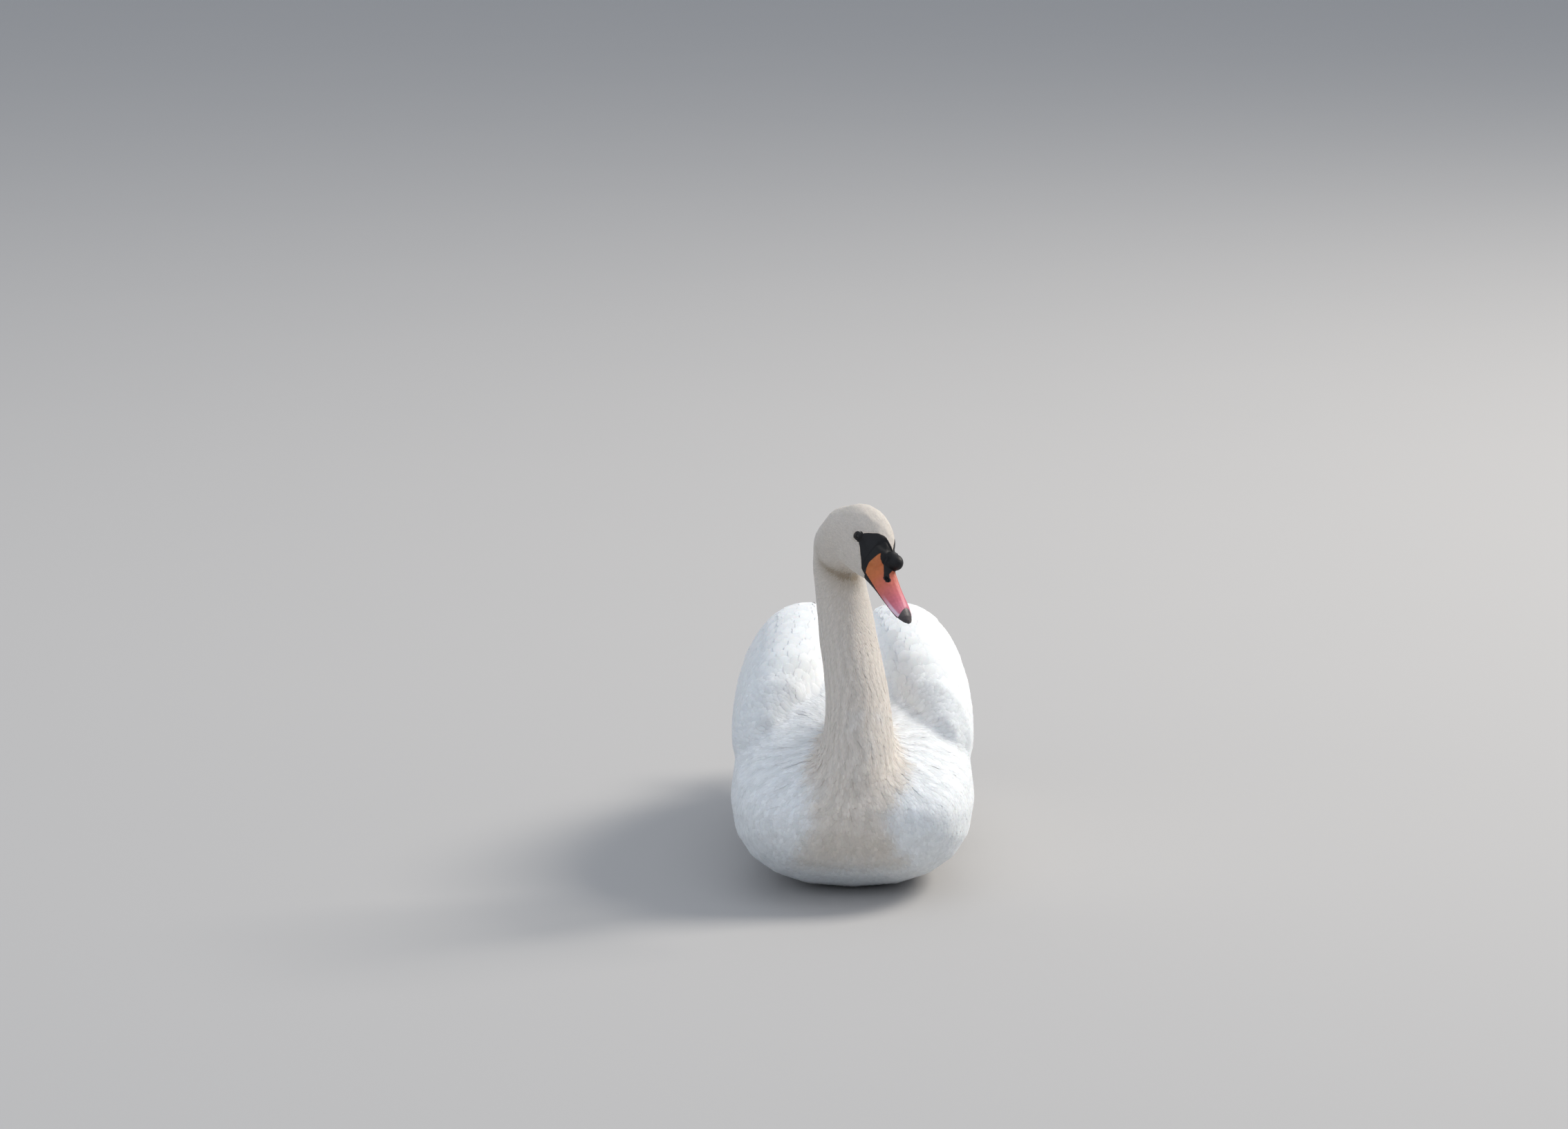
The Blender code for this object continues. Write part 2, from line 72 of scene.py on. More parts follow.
# ---------------------------------------------------------------- small helpers


def smooth_step(values: Array, low: float, high: float) -> Array:
    """Eased ramp between two levels.

    Args:
        values: Any array.
        low: The level where the ramp is 0.
        high: The level where the ramp is 1.

    Returns:
        An array of the same shape, from 0 to 1.
    """
    share = np.clip((values - low) / (high - low), 0.0, 1.0)
    return share * share * (3.0 - 2.0 * share)


def unit(vectors: Array) -> Array:
    """Vectors of length 1 in the same directions."""
    return vectors / np.maximum(np.linalg.norm(vectors, axis=-1, keepdims=True), 1e-12)


def dot(one: Array, other: Array) -> Array:
    """Dot product row by row, with the last axis kept."""
    return (one * other).sum(-1, keepdims=True)


def lengths(vectors: Array) -> Array:
    """The length of each row."""
    return np.linalg.norm(vectors, axis=1)


def hump(values: Array, width: float) -> Array:
    """Smooth rise to 1 about the value 0, and gone at about twice the width."""
    return np.exp(-((values / width) ** 2))


def rows_of(items: bpy_prop_collection, key: str, width: int, kind: type = float) -> Array:
    """Reads one property of many mesh elements.

    Args:
        items: The elements.
        key: The property.
        width: How many numbers it holds.
        kind: Their type.

    Returns:
        One row for each element.
    """
    flat = np.empty(len(items) * width, kind)
    items.foreach_get(key, flat)
    return flat.reshape(-1, width)


def mesh_points(mesh: Mesh) -> Array:
    """The mesh's vertices as an array of N by 3."""
    return rows_of(mesh.vertices, "co", 3)


def mesh_normals(mesh: Mesh) -> Array:
    """The mesh's vertex normals as an array of N by 3."""
    return rows_of(mesh.vertex_normals, "vector", 3)


def mesh_edges(mesh: Mesh) -> Array:
    """The mesh's edges as an array of pairs."""
    return rows_of(mesh.edges, "vertices", 2, np.int32)


def tree_of(mesh: Mesh) -> BVHTree:
    """The mesh's faces, ready to be asked what lies nearest."""
    return BVHTree.FromPolygons(mesh_points(mesh).tolist(), [list(face.vertices) for face in mesh.polygons])


def place_points(mesh: Mesh, points: Array) -> None:
    """Moves the mesh's vertices to the given points."""
    mesh.vertices.foreach_set("co", np.ascontiguousarray(points, np.float32).ravel())
    mesh.update()


def spread(values: Array, edges: Array, rounds: int,
           factor: float | Array = 0.5) -> Array:
    """Evens out values over a mesh by moving each towards the mean of its neighbours.

    Args:
        values: One row for each vertex.
        edges: Pairs of vertices.
        rounds: How many times.
        factor: How far each moves, one number or one for each vertex.

    Returns:
        The evened values.
    """
    flat = values.reshape(len(values), -1).astype(float)
    ends = np.concatenate((edges[:, 0], edges[:, 1]))
    others = np.concatenate((edges[:, 1], edges[:, 0]))
    count = np.maximum(np.bincount(ends, minlength=len(flat)), 1)[:, None]
    share = np.broadcast_to(np.asarray(factor, float).reshape(-1, 1), (len(flat), 1))
    for _ in range(rounds):
        total = np.stack([np.bincount(ends, flat[others, k], len(flat)) for k in range(flat.shape[1])], 1)
        flat = flat + (total / count - flat) * share
    return flat.reshape(values.shape)


def relaxed(mesh: Mesh, rounds: int, hold: Array | None = None) -> None:
    """Rubs facets off a mesh without shrinking it.

    Args:
        mesh: The mesh.
        rounds: How many times.
        hold: For each vertex, 0 where it is free and 1 where it stays.
    """
    inward, outward = 0.55, -0.57
    points, edges = mesh_points(mesh), mesh_edges(mesh)
    free = 1.0 if hold is None else 1.0 - hold
    for _ in range(rounds):
        points = spread(points, edges, 1, inward * free)
        points = spread(points, edges, 1, outward * free)
    place_points(mesh, points)


def nearest_on(points: Array, start: Array, end: Array) -> tuple[Array, Array]:
    """How points lie about a straight leg.

    Args:
        points: One row for each.
        start: Where the leg begins.
        end: Where it ends.

    Returns:
        The share of the leg at which each point is nearest to it, and the way from there to the point.
    """
    leg = end - start
    share = np.clip(((points - start) @ leg) / (leg @ leg), 0.0, 1.0)
    return share, points - start - share[:, None] * leg


def add_object(name: str, data: ID) -> Object:
    """Links a new object at the origin."""
    made = bpy.data.objects.new(name, data)
    bpy.context.scene.collection.objects.link(made)
    return made


def shape_of(mesh: Mesh) -> BMesh:
    """The mesh as a shape that can be worked on."""
    shape = bmesh.new()
    shape.from_mesh(mesh)
    return shape


def settled(shape: BMesh, mesh: Mesh | str) -> Mesh:
    """Writes a worked shape to a mesh, or to a new one of the given name, and lets the shape go."""
    result = bpy.data.meshes.new(mesh) if isinstance(mesh, str) else mesh
    shape.to_mesh(result)
    shape.free()
    return result


def add_piece(name: str, mesh: Mesh, finish: Material,
              nodes: Sequence[str] = ()) -> Object:
    """Makes a mesh into one visible piece.

    Args:
        name: The piece's name.
        mesh: Its shape.
        finish: Its material.
        nodes: CAD nodes that it stands for.

    Returns:
        The piece.
    """
    mesh.polygons.foreach_set("use_smooth", np.ones(len(mesh.polygons), bool))
    mesh.materials.append(finish)
    piece = add_object(name, mesh)
    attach(piece, "root")
    if nodes:
        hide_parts(*nodes)
    return piece


def joined_copies(nodes: Sequence[str], grow: float) -> Mesh:
    """One loose mesh of CAD solids' copies, each merged and grown a little so that they overlap.

    Args:
        nodes: Names of the CAD nodes.
        grow: How far each surface moves out, in metres.

    Returns:
        The joined mesh.
    """
    merge_within = 2e-5
    together = bmesh.new()
    for node in nodes:
        part = shape_of(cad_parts[node].data)
        bmesh.ops.remove_doubles(part, verts=part.verts, dist=merge_within)
        part.normal_update()
        for vertex in part.verts:
            vertex.co += vertex.normal * grow
        mesh = settled(part, "copy")
        together.from_mesh(mesh)
        bpy.data.meshes.remove(mesh)
    return settled(together, "joined")


def remeshed(mesh: Mesh, cell: float) -> Mesh:
    """The mesh's outer surface as even quads of about the given size."""
    carrier = add_object("carrier", mesh)
    remesh = carrier.modifiers.new("Remesh", "REMESH")
    remesh.mode = "VOXEL"
    remesh.voxel_size = cell
    graph = bpy.context.evaluated_depsgraph_get()
    graph.update()
    result = bpy.data.meshes.new_from_object(carrier.evaluated_get(graph))
    bpy.data.objects.remove(carrier)
    return result


def set_attribute(mesh: Mesh, name: str, values: Array) -> None:
    """Stores one number for each vertex under a name that materials read."""
    made = mesh.attributes.new(name, "FLOAT", "POINT")
    made.data.foreach_set("value", np.ascontiguousarray(values, np.float32))


def wavering(points: Array, size: float, seed: int) -> Array:
    """Smooth, repeatable unevenness from -1 to 1 over space.

    Args:
        points: N by 3, in metres.
        size: The width of one swell, in metres.
        seed: Which pattern.

    Returns:
        One number for each point.
    """
    octaves, waves, highest = (1.0, 1.9, 3.1), 4, 5.0
    dice = np.random.default_rng(seed)
    total = np.zeros(len(points))
    for octave in octaves:
        for _ in range(waves):
            way = unit(dice.normal(size=3)) * octave * 2.0 * math.pi / size
            total += np.sin(points @ way + dice.uniform(0, 2 * math.pi)) / octave
    return np.clip(total / highest, -1.0, 1.0)


def eye_middle(side: str) -> Array:
    """The middle of one eye in the room."""
    return np.mean([list(corner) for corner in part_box(f"eye_{side}")], 0)


# ---------------------------------------------------------------- shader maths


class Value:
    """A number in a material's node tree, with a number's arithmetic."""

    def __init__(self, shader: "Shader", socket: NodeSocket) -> None:
        """Keeps the socket and the tree that it belongs to."""
        self.shader = shader
        self.socket = socket

    def __add__(self, other: "Value | float") -> "Value":
        """Sum."""
        return self.shader.math("ADD", self, other)

    def __sub__(self, other: "Value | float") -> "Value":
        """Difference."""
        return self.shader.math("SUBTRACT", self, other)

    def __rsub__(self, other: float) -> "Value":
        """Difference from a plain number."""
        return self.shader.math("SUBTRACT", other, self)

    def __mul__(self, other: "Value | float") -> "Value":
        """Product."""
        return self.shader.math("MULTIPLY", self, other)

    def __abs__(self) -> "Value":
        """Size without sign."""
        return self.shader.math("ABSOLUTE", self)

    def sine(self) -> "Value":
        """Sine."""
        return self.shader.math("SINE", self)

    def eased(self, low: float, high: float) -> "Value":
        """Eased ramp from 0 at low to 1 at high."""
        inputs = {0: self, 1: low, 2: high, 3: 0.0, 4: 1.0}
        made = self.shader.node("ShaderNodeMapRange", {"interpolation_type": "SMOOTHSTEP"}, inputs)
        return Value(self.shader, made.outputs[0])

    __radd__ = __add__
    __rmul__ = __mul__


class Shader:
    """A material under construction, with one Principled surface."""

    def __init__(self, name: str, **constants: float | tuple[float, ...]) -> None:
        """Starts the tree.

        Args:
            name: The material's name.
            constants: Values of Principled sockets that are the same all over, with _ for a space.
        """
        self.material = bpy.data.materials.new(name)
        self.material.use_nodes = True
        self.tree = self.material.node_tree
        self.tree.nodes.clear()
        self.surface = self.node("ShaderNodeBsdfPrincipled")
        for key, value in constants.items():
            self.surface.inputs[key.replace("_", " ")].default_value = value
        self.node("ShaderNodeOutputMaterial", {}, {"Surface": self.surface.outputs[0]})

    def node(self, kind: str, settings: dict | None = None, inputs: dict | None = None) -> Node:
        """Adds a node.

        Args:
            kind: Its type.
            settings: Its properties, set first; stops are a ramp's positions and colours.
            inputs: Values or links of its sockets, by name or number.

        Returns:
            The node.
        """
        made = self.tree.nodes.new(kind)
        for key, value in (settings or {}).items():
            if key == "stops":
                ramp = made.color_ramp
                for place, colour in value[2:]:
                    ramp.elements.new(place)
                for element, (place, colour) in zip(ramp.elements, sorted(value)):
                    element.position = place
                    element.color = (*colour, 1.0)
            else:
                setattr(made, key, value)
        for key, value in (inputs or {}).items():
            self.feed(made.inputs[key], value)
        return made

    def feed(self, socket: NodeSocket, value: object) -> None:
        """Links or sets one socket."""
        if isinstance(value, Value):
            value = value.socket
        if isinstance(value, NodeSocket):
            self.tree.links.new(value, socket)
        else:
            socket.default_value = value

    def math(self, operation: str, *values: Value | float) -> Value:
        """One Math node on values."""
        made = self.node("ShaderNodeMath", {"operation": operation}, dict(enumerate(values)))
        return Value(self, made.outputs[0])

    def mix(self, share: Value | float, first: object, second: object,
            blend: str = "MIX") -> NodeSocket:
        """Mixes two colours.

        Args:
            share: 0 for the first colour and 1 for the second.
            first: A colour or a link.
            second: A colour, a number's link or a link.
            blend: The way of mixing.

        Returns:
            The mixed colour.
        """
        colours = [(*one, 1.0) if isinstance(one, tuple) else one for one in (first, second)]
        settings = {"data_type": "RGBA", "blend_type": blend}
        made = self.node("ShaderNodeMix", settings, {0: share, 6: colours[0], 7: colours[1]})
        return made.outputs[2]

    def attribute(self, name: str) -> Value:
        """A number stored on the mesh."""
        made = self.node("ShaderNodeAttribute", {"attribute_name": name})
        return Value(self, made.outputs["Fac"])

    def along(self, map_name: str) -> tuple[Value, Value]:
        """Both coordinates of one of the piece's own maps."""
        chart = self.node("ShaderNodeUVMap", {"uv_map": map_name})
        parts = self.node("ShaderNodeSeparateXYZ", {}, {0: chart.outputs[0]})
        return Value(self, parts.outputs[0]), Value(self, parts.outputs[1])

    def place(self) -> NodeSocket:
        """Object coordinates."""
        return self.node("ShaderNodeTexCoord").outputs["Object"]

    def noise(self, scale: float, detail: float = 2.0) -> Value:
        """Cloudy noise from 0 to 1 on Object coordinates."""
        inputs = {"Vector": self.place(), "Scale": scale, "Detail": detail}
        return Value(self, self.node("ShaderNodeTexNoise", {}, inputs).outputs[0])

    def finish(self, colour: NodeSocket, roughness: Value | float, height: Value | None = None,
               strength: float = 0.3, distance: float = 0.001) -> Material:
        """Joins what varies to the surface.

        Args:
            colour: The base colour.
            roughness: A number or a varying value.
            height: What the bump follows.
            strength: The bump's strength.
            distance: The bump's height in metres.

        Returns:
            The material.
        """
        self.feed(self.surface.inputs["Base Color"], colour)
        self.feed(self.surface.inputs["Roughness"], roughness)
        if height is not None:
            inputs = {"Strength": strength, "Distance": distance, "Height": height}
            bump = self.node("ShaderNodeBump", {}, inputs)
            self.feed(self.surface.inputs["Normal"], bump.outputs[0])
        return self.material


# ---------------------------------------------------------------- finishes


Colour = Triple
BLACK_HORN: Colour = (0.0045, 0.005, 0.0065)


@dataclass(frozen=True)
class Marking:
    """The plumage's colours, from clean through stained by water weed to the painted shade in the fold below
    the cheek.
    """

    white: Colour
    stained: Colour
    fold_shade: Colour

    def colour(self, shader: Shader) -> NodeSocket:
        """The colour by the field that the mesh carries: 0 clean, 1 stained, 1.9 the painted shade of the
        fold.
        """
        stain = shader.attribute("stain") * (shader.noise(38.0, 3.0) * 0.5 + 0.75)
        stained = shader.mix(stain.eased(0.0, 1.0), self.white, self.stained)
        # Painted shade: above 1.05 the field darkens the colour towards the fold's shade colour.
        return shader.mix(shader.attribute("stain").eased(1.05, 1.9), stained, self.fold_shade)


@dataclass(frozen=True)
class PlumageFinish:
    """Matt white feather, stained by water weed on the head and neck, with fine barbs and painted shade
    towards each vane's root.
    """

    name: str
    barbs: float = 60.0
    marking: Marking = Marking((0.84, 0.845, 0.855), (0.685, 0.61, 0.545), (0.29, 0.22, 0.15))
    # Painted shade where each vane lies under its neighbours: the colour multiplied in at its root, and how
    # strongly.
    root: Colour = (0.74, 0.73, 0.71)
    root_shade_strength: float = 0.35
    barb_slope: float = 0.16
    bump: tuple[float, float] = (0.10, 0.0004)

    def material(self) -> Material:
        """The finish as a material for vanes that carry tone with the neck furrows' painted light and shade,
        stain with the fold's painted shade, and a Vane map.
        """
        shader = Shader(self.name, Sheen_Weight=0.12, Sheen_Roughness=0.5, Specular_IOR_Level=0.25,
                        Subsurface_Weight=0.12, Subsurface_Scale=0.004)
        across, up = shader.along("Vane")
        colour = shader.mix(1.0, self.marking.colour(shader), shader.attribute("tone").socket, "MULTIPLY")
        # Painted shade: darker towards the root, over the first 0.6 of the vane.
        deep = (1.0 - up.eased(0.0, 0.6)) * self.root_shade_strength
        colour = shader.mix(deep, colour, shader.mix(1.0, colour, self.root, "MULTIPLY"))
        slope = abs(across - 0.5) * 2.2
        barb = ((up * self.barbs - slope * (self.barbs * self.barb_slope)) * (2.0 * math.pi)).sine()
        shaft = 1.0 - abs(across - 0.5).eased(0.0, 0.06)
        return shader.finish(colour, shader.noise(60.0) * 0.12 + 0.68, barb * 0.5 + shaft * 1.5, *self.bump)


@dataclass(frozen=True)
class SkinFinish:
    """Skin under the plumage, bare and black between the eye and the bill."""

    name: str = "skin"
    marking: Marking = Marking((0.80, 0.80, 0.80), (0.64, 0.567, 0.498), (0.27, 0.205, 0.14))
    black: Colour = BLACK_HORN
    grey: Colour = (0.0085, 0.009, 0.012)

    def material(self) -> Material:
        """The finish as a material for the skin, which carries stain with the fold's painted shade, and bare.
        """
        shader = Shader(self.name, Specular_IOR_Level=0.28)
        frayed = shader.attribute("bare") + (shader.noise(900.0) - 0.5) * 0.9
        bare = frayed.eased(-0.35, 0.35)
        black = shader.mix(shader.noise(260.0), self.black, self.grey)
        colour = shader.mix(bare, self.marking.colour(shader), black)
        grain = shader.noise(1500.0, 3.0) + shader.noise(420.0, 2.0)
        return shader.finish(colour, 0.75 - bare * 0.27, grain, 0.3, 0.0006)


@dataclass(frozen=True)
class BillFinish:
    """Horn: orange through salmon to pink, with black at its root, nostrils, edge and nail."""

    name: str = "bill_horn"
    black: Colour = BLACK_HORN
    nail: Colour = (0.055, 0.048, 0.052)
    nail_light: Colour = (0.09, 0.08, 0.085)
    lilac: Colour = (0.80, 0.60, 0.72)
    # From the bill's root to its tip: the two ends, then what lies between them.
    horn: tuple[tuple[float, Colour], ...] = (
        (0.0, (0.50, 0.155, 0.045)), (1.0, (0.60, 0.23, 0.33)), (0.22, (0.56, 0.155, 0.055)),
        (0.42, (0.60, 0.15, 0.11)), (0.70, (0.58, 0.145, 0.19)))

    def material(self) -> Material:
        """The finish as a material for a bill that carries orange, reach, nail and edge."""
        shader = Shader(self.name, Specular_IOR_Level=0.32, Subsurface_Weight=0.08, Subsurface_Scale=0.003)
        reach = shader.attribute("reach")
        uneven = reach + (shader.noise(120.0, 3.0) - 0.5) * 0.10
        horn = shader.node("ShaderNodeValToRGB", {"stops": self.horn}, {0: uneven}).outputs[0]
        pale = shader.attribute("edge").eased(0.15, 0.9) * reach.eased(0.45, 0.85)
        horn = shader.mix(pale, horn, self.lilac)
        streak = shader.noise(240.0, 3.0) * 0.35 + 0.80
        horn = shader.mix(1.0, horn, streak.socket, "MULTIPLY")
        shown = (shader.attribute("orange") + (shader.noise(700.0) - 0.5) * 0.8).eased(-0.4, 0.4)
        colour = shader.mix(shown, self.black, horn)
        tip = shader.attribute("nail").eased(-0.5, 0.6)
        colour = shader.mix(tip, colour, shader.mix(shader.noise(300.0), self.nail, self.nail_light))
        grain = shader.noise(900.0, 3.0) * 0.6 + shader.noise(220.0, 2.0)
        return shader.finish(colour, 0.50 - shown * 0.10 + shader.noise(180.0) * 0.10, grain, 0.22, 0.0006)


@dataclass(frozen=True)
class EyeFinish:
    """Dark brown iris about a black pupil, under a wet clear coat."""

    name: str = "eye_wet"
    pupil: Colour = (0.002, 0.002, 0.002)
    iris: Colour = (0.016, 0.009, 0.006)
    iris_dark: Colour = (0.012, 0.007, 0.005)
    rim: Colour = (0.004, 0.004, 0.004)

    def material(self) -> Material:
        """The finish as a material for an eye that carries its distance from the pupil's middle."""
        shader = Shader(self.name, Coat_Roughness=0.03, Specular_IOR_Level=0.2, Coat_Weight=0.25)
        out = shader.attribute("out")
        iris = shader.mix(shader.noise(1600.0, 3.0), self.iris, self.iris_dark)
        colour = shader.mix(out.eased(0.50, 0.58), self.pupil, iris)
        colour = shader.mix(out.eased(0.86, 1.0), colour, self.rim)
        return shader.finish(colour, 0.12 + out * 0.05)


@dataclass(frozen=True)
class LidFinish:
    """Soft black skin, slightly moist."""

    name: str = "lid_skin"
    black: Colour = (0.004, 0.004, 0.005)
    grey: Colour = (0.008, 0.008, 0.010)

    def material(self) -> Material:
        """The finish as a material on Object coordinates."""
        shader = Shader(self.name, Specular_IOR_Level=0.35)
        colour = shader.mix(shader.noise(500.0), self.black, self.grey)
        return shader.finish(colour, shader.noise(240.0) * 0.15 + 0.42, shader.noise(1800.0), 0.3, 0.0003)


@dataclass(frozen=True)
class FootFinish:
    """Slate grey leathery skin with small scales."""

    name: str = "foot_leather"
    dark: Colour = (0.022, 0.023, 0.024)
    light: Colour = (0.060, 0.061, 0.060)

    def material(self) -> Material:
        """The finish as a material on Object coordinates."""
        shader = Shader(self.name, Specular_IOR_Level=0.4)
        inputs = {"Vector": shader.place(), "Scale": 420.0}
        cells = shader.node("ShaderNodeTexVoronoi", {"feature": "DISTANCE_TO_EDGE"}, inputs)
        scale = Value(shader, cells.outputs[0])
        colour = shader.mix(scale.eased(0.0, 0.25) * shader.noise(60.0, 3.0), self.dark, self.light)
        return shader.finish(colour, 0.55 + shader.noise(90.0) * 0.15, scale.eased(0.0, 0.2), 0.5, 0.0006)


@dataclass(frozen=True)
class FloorFinish:
    """Plain pale matt ground."""

    name: str = "ground_pale"
    pale: Colour = (0.46, 0.46, 0.46)
    cool: Colour = (0.43, 0.435, 0.44)

    def material(self) -> Material:
        """The finish as a material on Object coordinates."""
        shader = Shader(self.name, Specular_IOR_Level=0.2)
        colour = shader.mix(shader.noise(1.5) * 0.25, self.pale, self.cool)
        return shader.finish(colour, 0.9)


# ---------------------------------------------------------------- head's own axes


@dataclass(frozen=True)
class HeadPose:
    """Where the head is and how it is turned: x forward along the bill, y to the bird's left, z up."""

    centre: Triple = (0.0200, -0.3040, 0.4225)
    yaw: float = 34.0
    pitch: float = 25.0
    roll: float = -21.0

    def matrix(self) -> Matrix:
        """From the head's axes to the room."""
        yaw, pitch, roll = (math.radians(angle) for angle in (self.yaw, self.pitch, self.roll))
        level = Vector((math.sin(yaw), -math.cos(yaw), 0.0))
        left = Vector((math.cos(yaw), math.sin(yaw), 0.0))
        forward = level * math.cos(pitch) - Vector((0.0, 0.0, math.sin(pitch)))
        up = forward.cross(left)
        rolled_left = left * math.cos(roll) + up * math.sin(roll)
        rolled_up = up * math.cos(roll) - left * math.sin(roll)
        turned = Matrix((forward, rolled_left, rolled_up)).transposed().to_4x4()
        turned.translation = Vector(self.centre)
        return turned

    def to_local(self, points: Array) -> Array:
        """Points of the room in millimetres on the head's axes."""
        back = np.array(self.matrix().inverted())
        return (points @ back[:3, :3].T + back[:3, 3]) / MM

    def to_room(self, points: Array) -> Array:
        """Millimetres on the head's axes as points of the room."""
        there = np.array(self.matrix())
        return points * MM @ there[:3, :3].T + there[:3, 3]


def side_of(outline: Sequence[tuple[float, float]], points: Array) -> Array:
    """Distance to a closed outline, positive inside it.

    Args:
        outline: Its corners in order.
        points: N by 2, in the same units.

    Returns:
        One distance for each point.
    """
    corners = np.array(outline, float)
    best = np.full(len(points), np.inf)
    inside = np.zeros(len(points), bool)
    for start, end in zip(corners, np.roll(corners, -1, axis=0)):
        along = end - start
        best = np.minimum(best, lengths(nearest_on(points, start, end)[1]))
        crosses = (start[1] > points[:, 1]) != (end[1] > points[:, 1])
        with np.errstate(divide="ignore", invalid="ignore"):
            where = start[0] + (points[:, 1] - start[1]) / (end[1] - start[1]) * along[0]
        inside ^= crosses & (points[:, 0] < where)
    return np.where(inside, best, -best)


@dataclass(frozen=True)
class FaceMarks:
    """The face's colour fields, in millimetres on the head's axes."""

    # Angle down from the crown in degrees, and how far forward the plumage ends there.
    plumage_angles: tuple[float, ...] = (0, 2, 14, 24.5, 40, 55, 76, 84, 88, 95.5, 110, 134, 150, 162, 180)
    plumage_ends: tuple[float, ...] = (
        40.5, 39.8, 32.7, 24.6, 18.5, 13.5, 5.4, 0.0, 0.0, 5.0, 13.0, 22.5, 26.5, 34, 38)
    orange_outline: tuple[tuple[float, float], ...] = (
        (37.3, 2.0), (41, -2.5), (46, -6.2), (54, -11.9), (61, -16.4), (66.7, -18.3), (69.3, -16.7),
        (66.4, -13.4), (60.6, -10.6), (57.0, -4.3), (64, 12), (135, 12), (135, -50), (117, -37.2),
        (106, -36.0), (97.4, -35.2), (85, -34.0), (71.5, -32.2), (58, -29.8), (45, -27.5), (37, -26.2),
        (33.5, -22.0), (33.4, -15), (34.8, -8.5))
    knob: Triple = (52.5, 0.0, 2.6)
    knob_reach: float = 10.8
    bill_root: float = 33.0
    bill_tip: float = 118.8
    nail_start: float = 106.8
    # How much further forward the nail's edge lies towards the sides, for each square millimetre.
    nail_curve: float = 0.055
    nail_margin: float = 0.8

    def bare(self, local: Array) -> Array:
        """How far in front of the plumage's edge each point lies, negative under plumage."""
        x, y, z = local.T
        angle = np.degrees(np.arctan2(np.abs(y), z))
        return x - np.interp(angle, self.plumage_angles, self.plumage_ends)

    def orange(self, local: Array) -> Array:
        """How far inside the orange field each point lies, negative outside."""
        knob = lengths(local - np.array(self.knob)) - self.knob_reach
        return np.minimum(side_of(self.orange_outline, local[:, [0, 2]]), knob)

    def nail(self, local: Array) -> Array:
        """How far inside the nail each point lies, negative behind it."""
        return local[:, 0] - self.nail_start - self.nail_curve * local[:, 1] ** 2 + self.nail_margin


# ---------------------------------------------------------------- skin and the lie of the feathers


@dataclass(frozen=True)
class Spine:
    """A line through head, neck and trunk that gives each place its distance from the bill and its angle."""

    # Across, behind the breast's front and above the waterline, in millimetres, from the nape down.
    neck_mm: tuple[Triple, ...] = (
        (9, 64, 324), (-1, 79, 325), (-11, 95, 319), (-17, 112, 307), (-18, 126, 286), (-15, 134, 258),
        (-10, 134, 228), (-6, 125, 198), (0, 111, 167), (5, 97, 135), (7, 86, 105), (5, 80, 70), (0, 90, 40))
    trunk_mm: tuple[Triple, ...] = (
        (0, 130, 30), (0, 250, 60), (0, 480, 75), (0, 700, 60))
    # The bill's root, the head's middle and its back, in millimetres on the head's axes.
    face_mm: tuple[Triple, ...] = (
        (46.0, 0.0, -12.0), (20.0, 0.0, -6.0), (-12.0, 0.0, -4.0))
    # The neck's foot: height above the waterline, middle across and behind the front, half width, half depth.
    base_mm: tuple[tuple[float, float, float, float, float], ...] = (
        (0, -3, 84, 66, 84), (24, 0, 74, 57, 70), (54, 5, 74, 48, 60), (82, 7, 79, 43, 54),
        (105, 7, 86, 41, 50), (135, 5, 97, 39, 47), (167, 0, 111, 36, 43))

    def points(self, pose: HeadPose) -> Array:
        """The line's corners in the room, from the bill's root to the tail."""
        face = pose.to_room(np.array(self.face_mm))
        rest = np.array(self.neck_mm + self.trunk_mm, float) * MM
        return np.concatenate((face, rest + np.array([0.0, FRONT_Y, WATERLINE_Z])))

    def chart(self, pose: HeadPose, points: Array) -> tuple[Array, Array]:
        """Unrolls places round the line.

        Args:
            pose: The head's place.
            points: N by 3.

        Returns:
            Distance along the line in metres, and angle round it in radians.
        """
        line = self.points(pose)
        length = lengths(line[1:] - line[:-1])
        run = np.concatenate(([0.0], np.cumsum(length)))
        best = np.full(len(points), np.inf)
        along = np.zeros(len(points))
        angle = np.zeros(len(points))
        for index, (start, end) in enumerate(zip(line[:-1], line[1:])):
            share, gap = nearest_on(points, start, end)
            far = lengths(gap)
            nearer = far < best
            axis = (end - start) / length[index]
            across = np.array([1.0, 0.0, 0.0]) - axis[0] * axis
            across /= np.linalg.norm(across)
            other = np.cross(axis, across)
            turn = np.arctan2(gap @ other, gap @ across)
            best = np.where(nearer, far, best)
            along = np.where(nearer, run[index] + share * length[index], along)
            angle = np.where(nearer, turn, angle)
        return along, angle


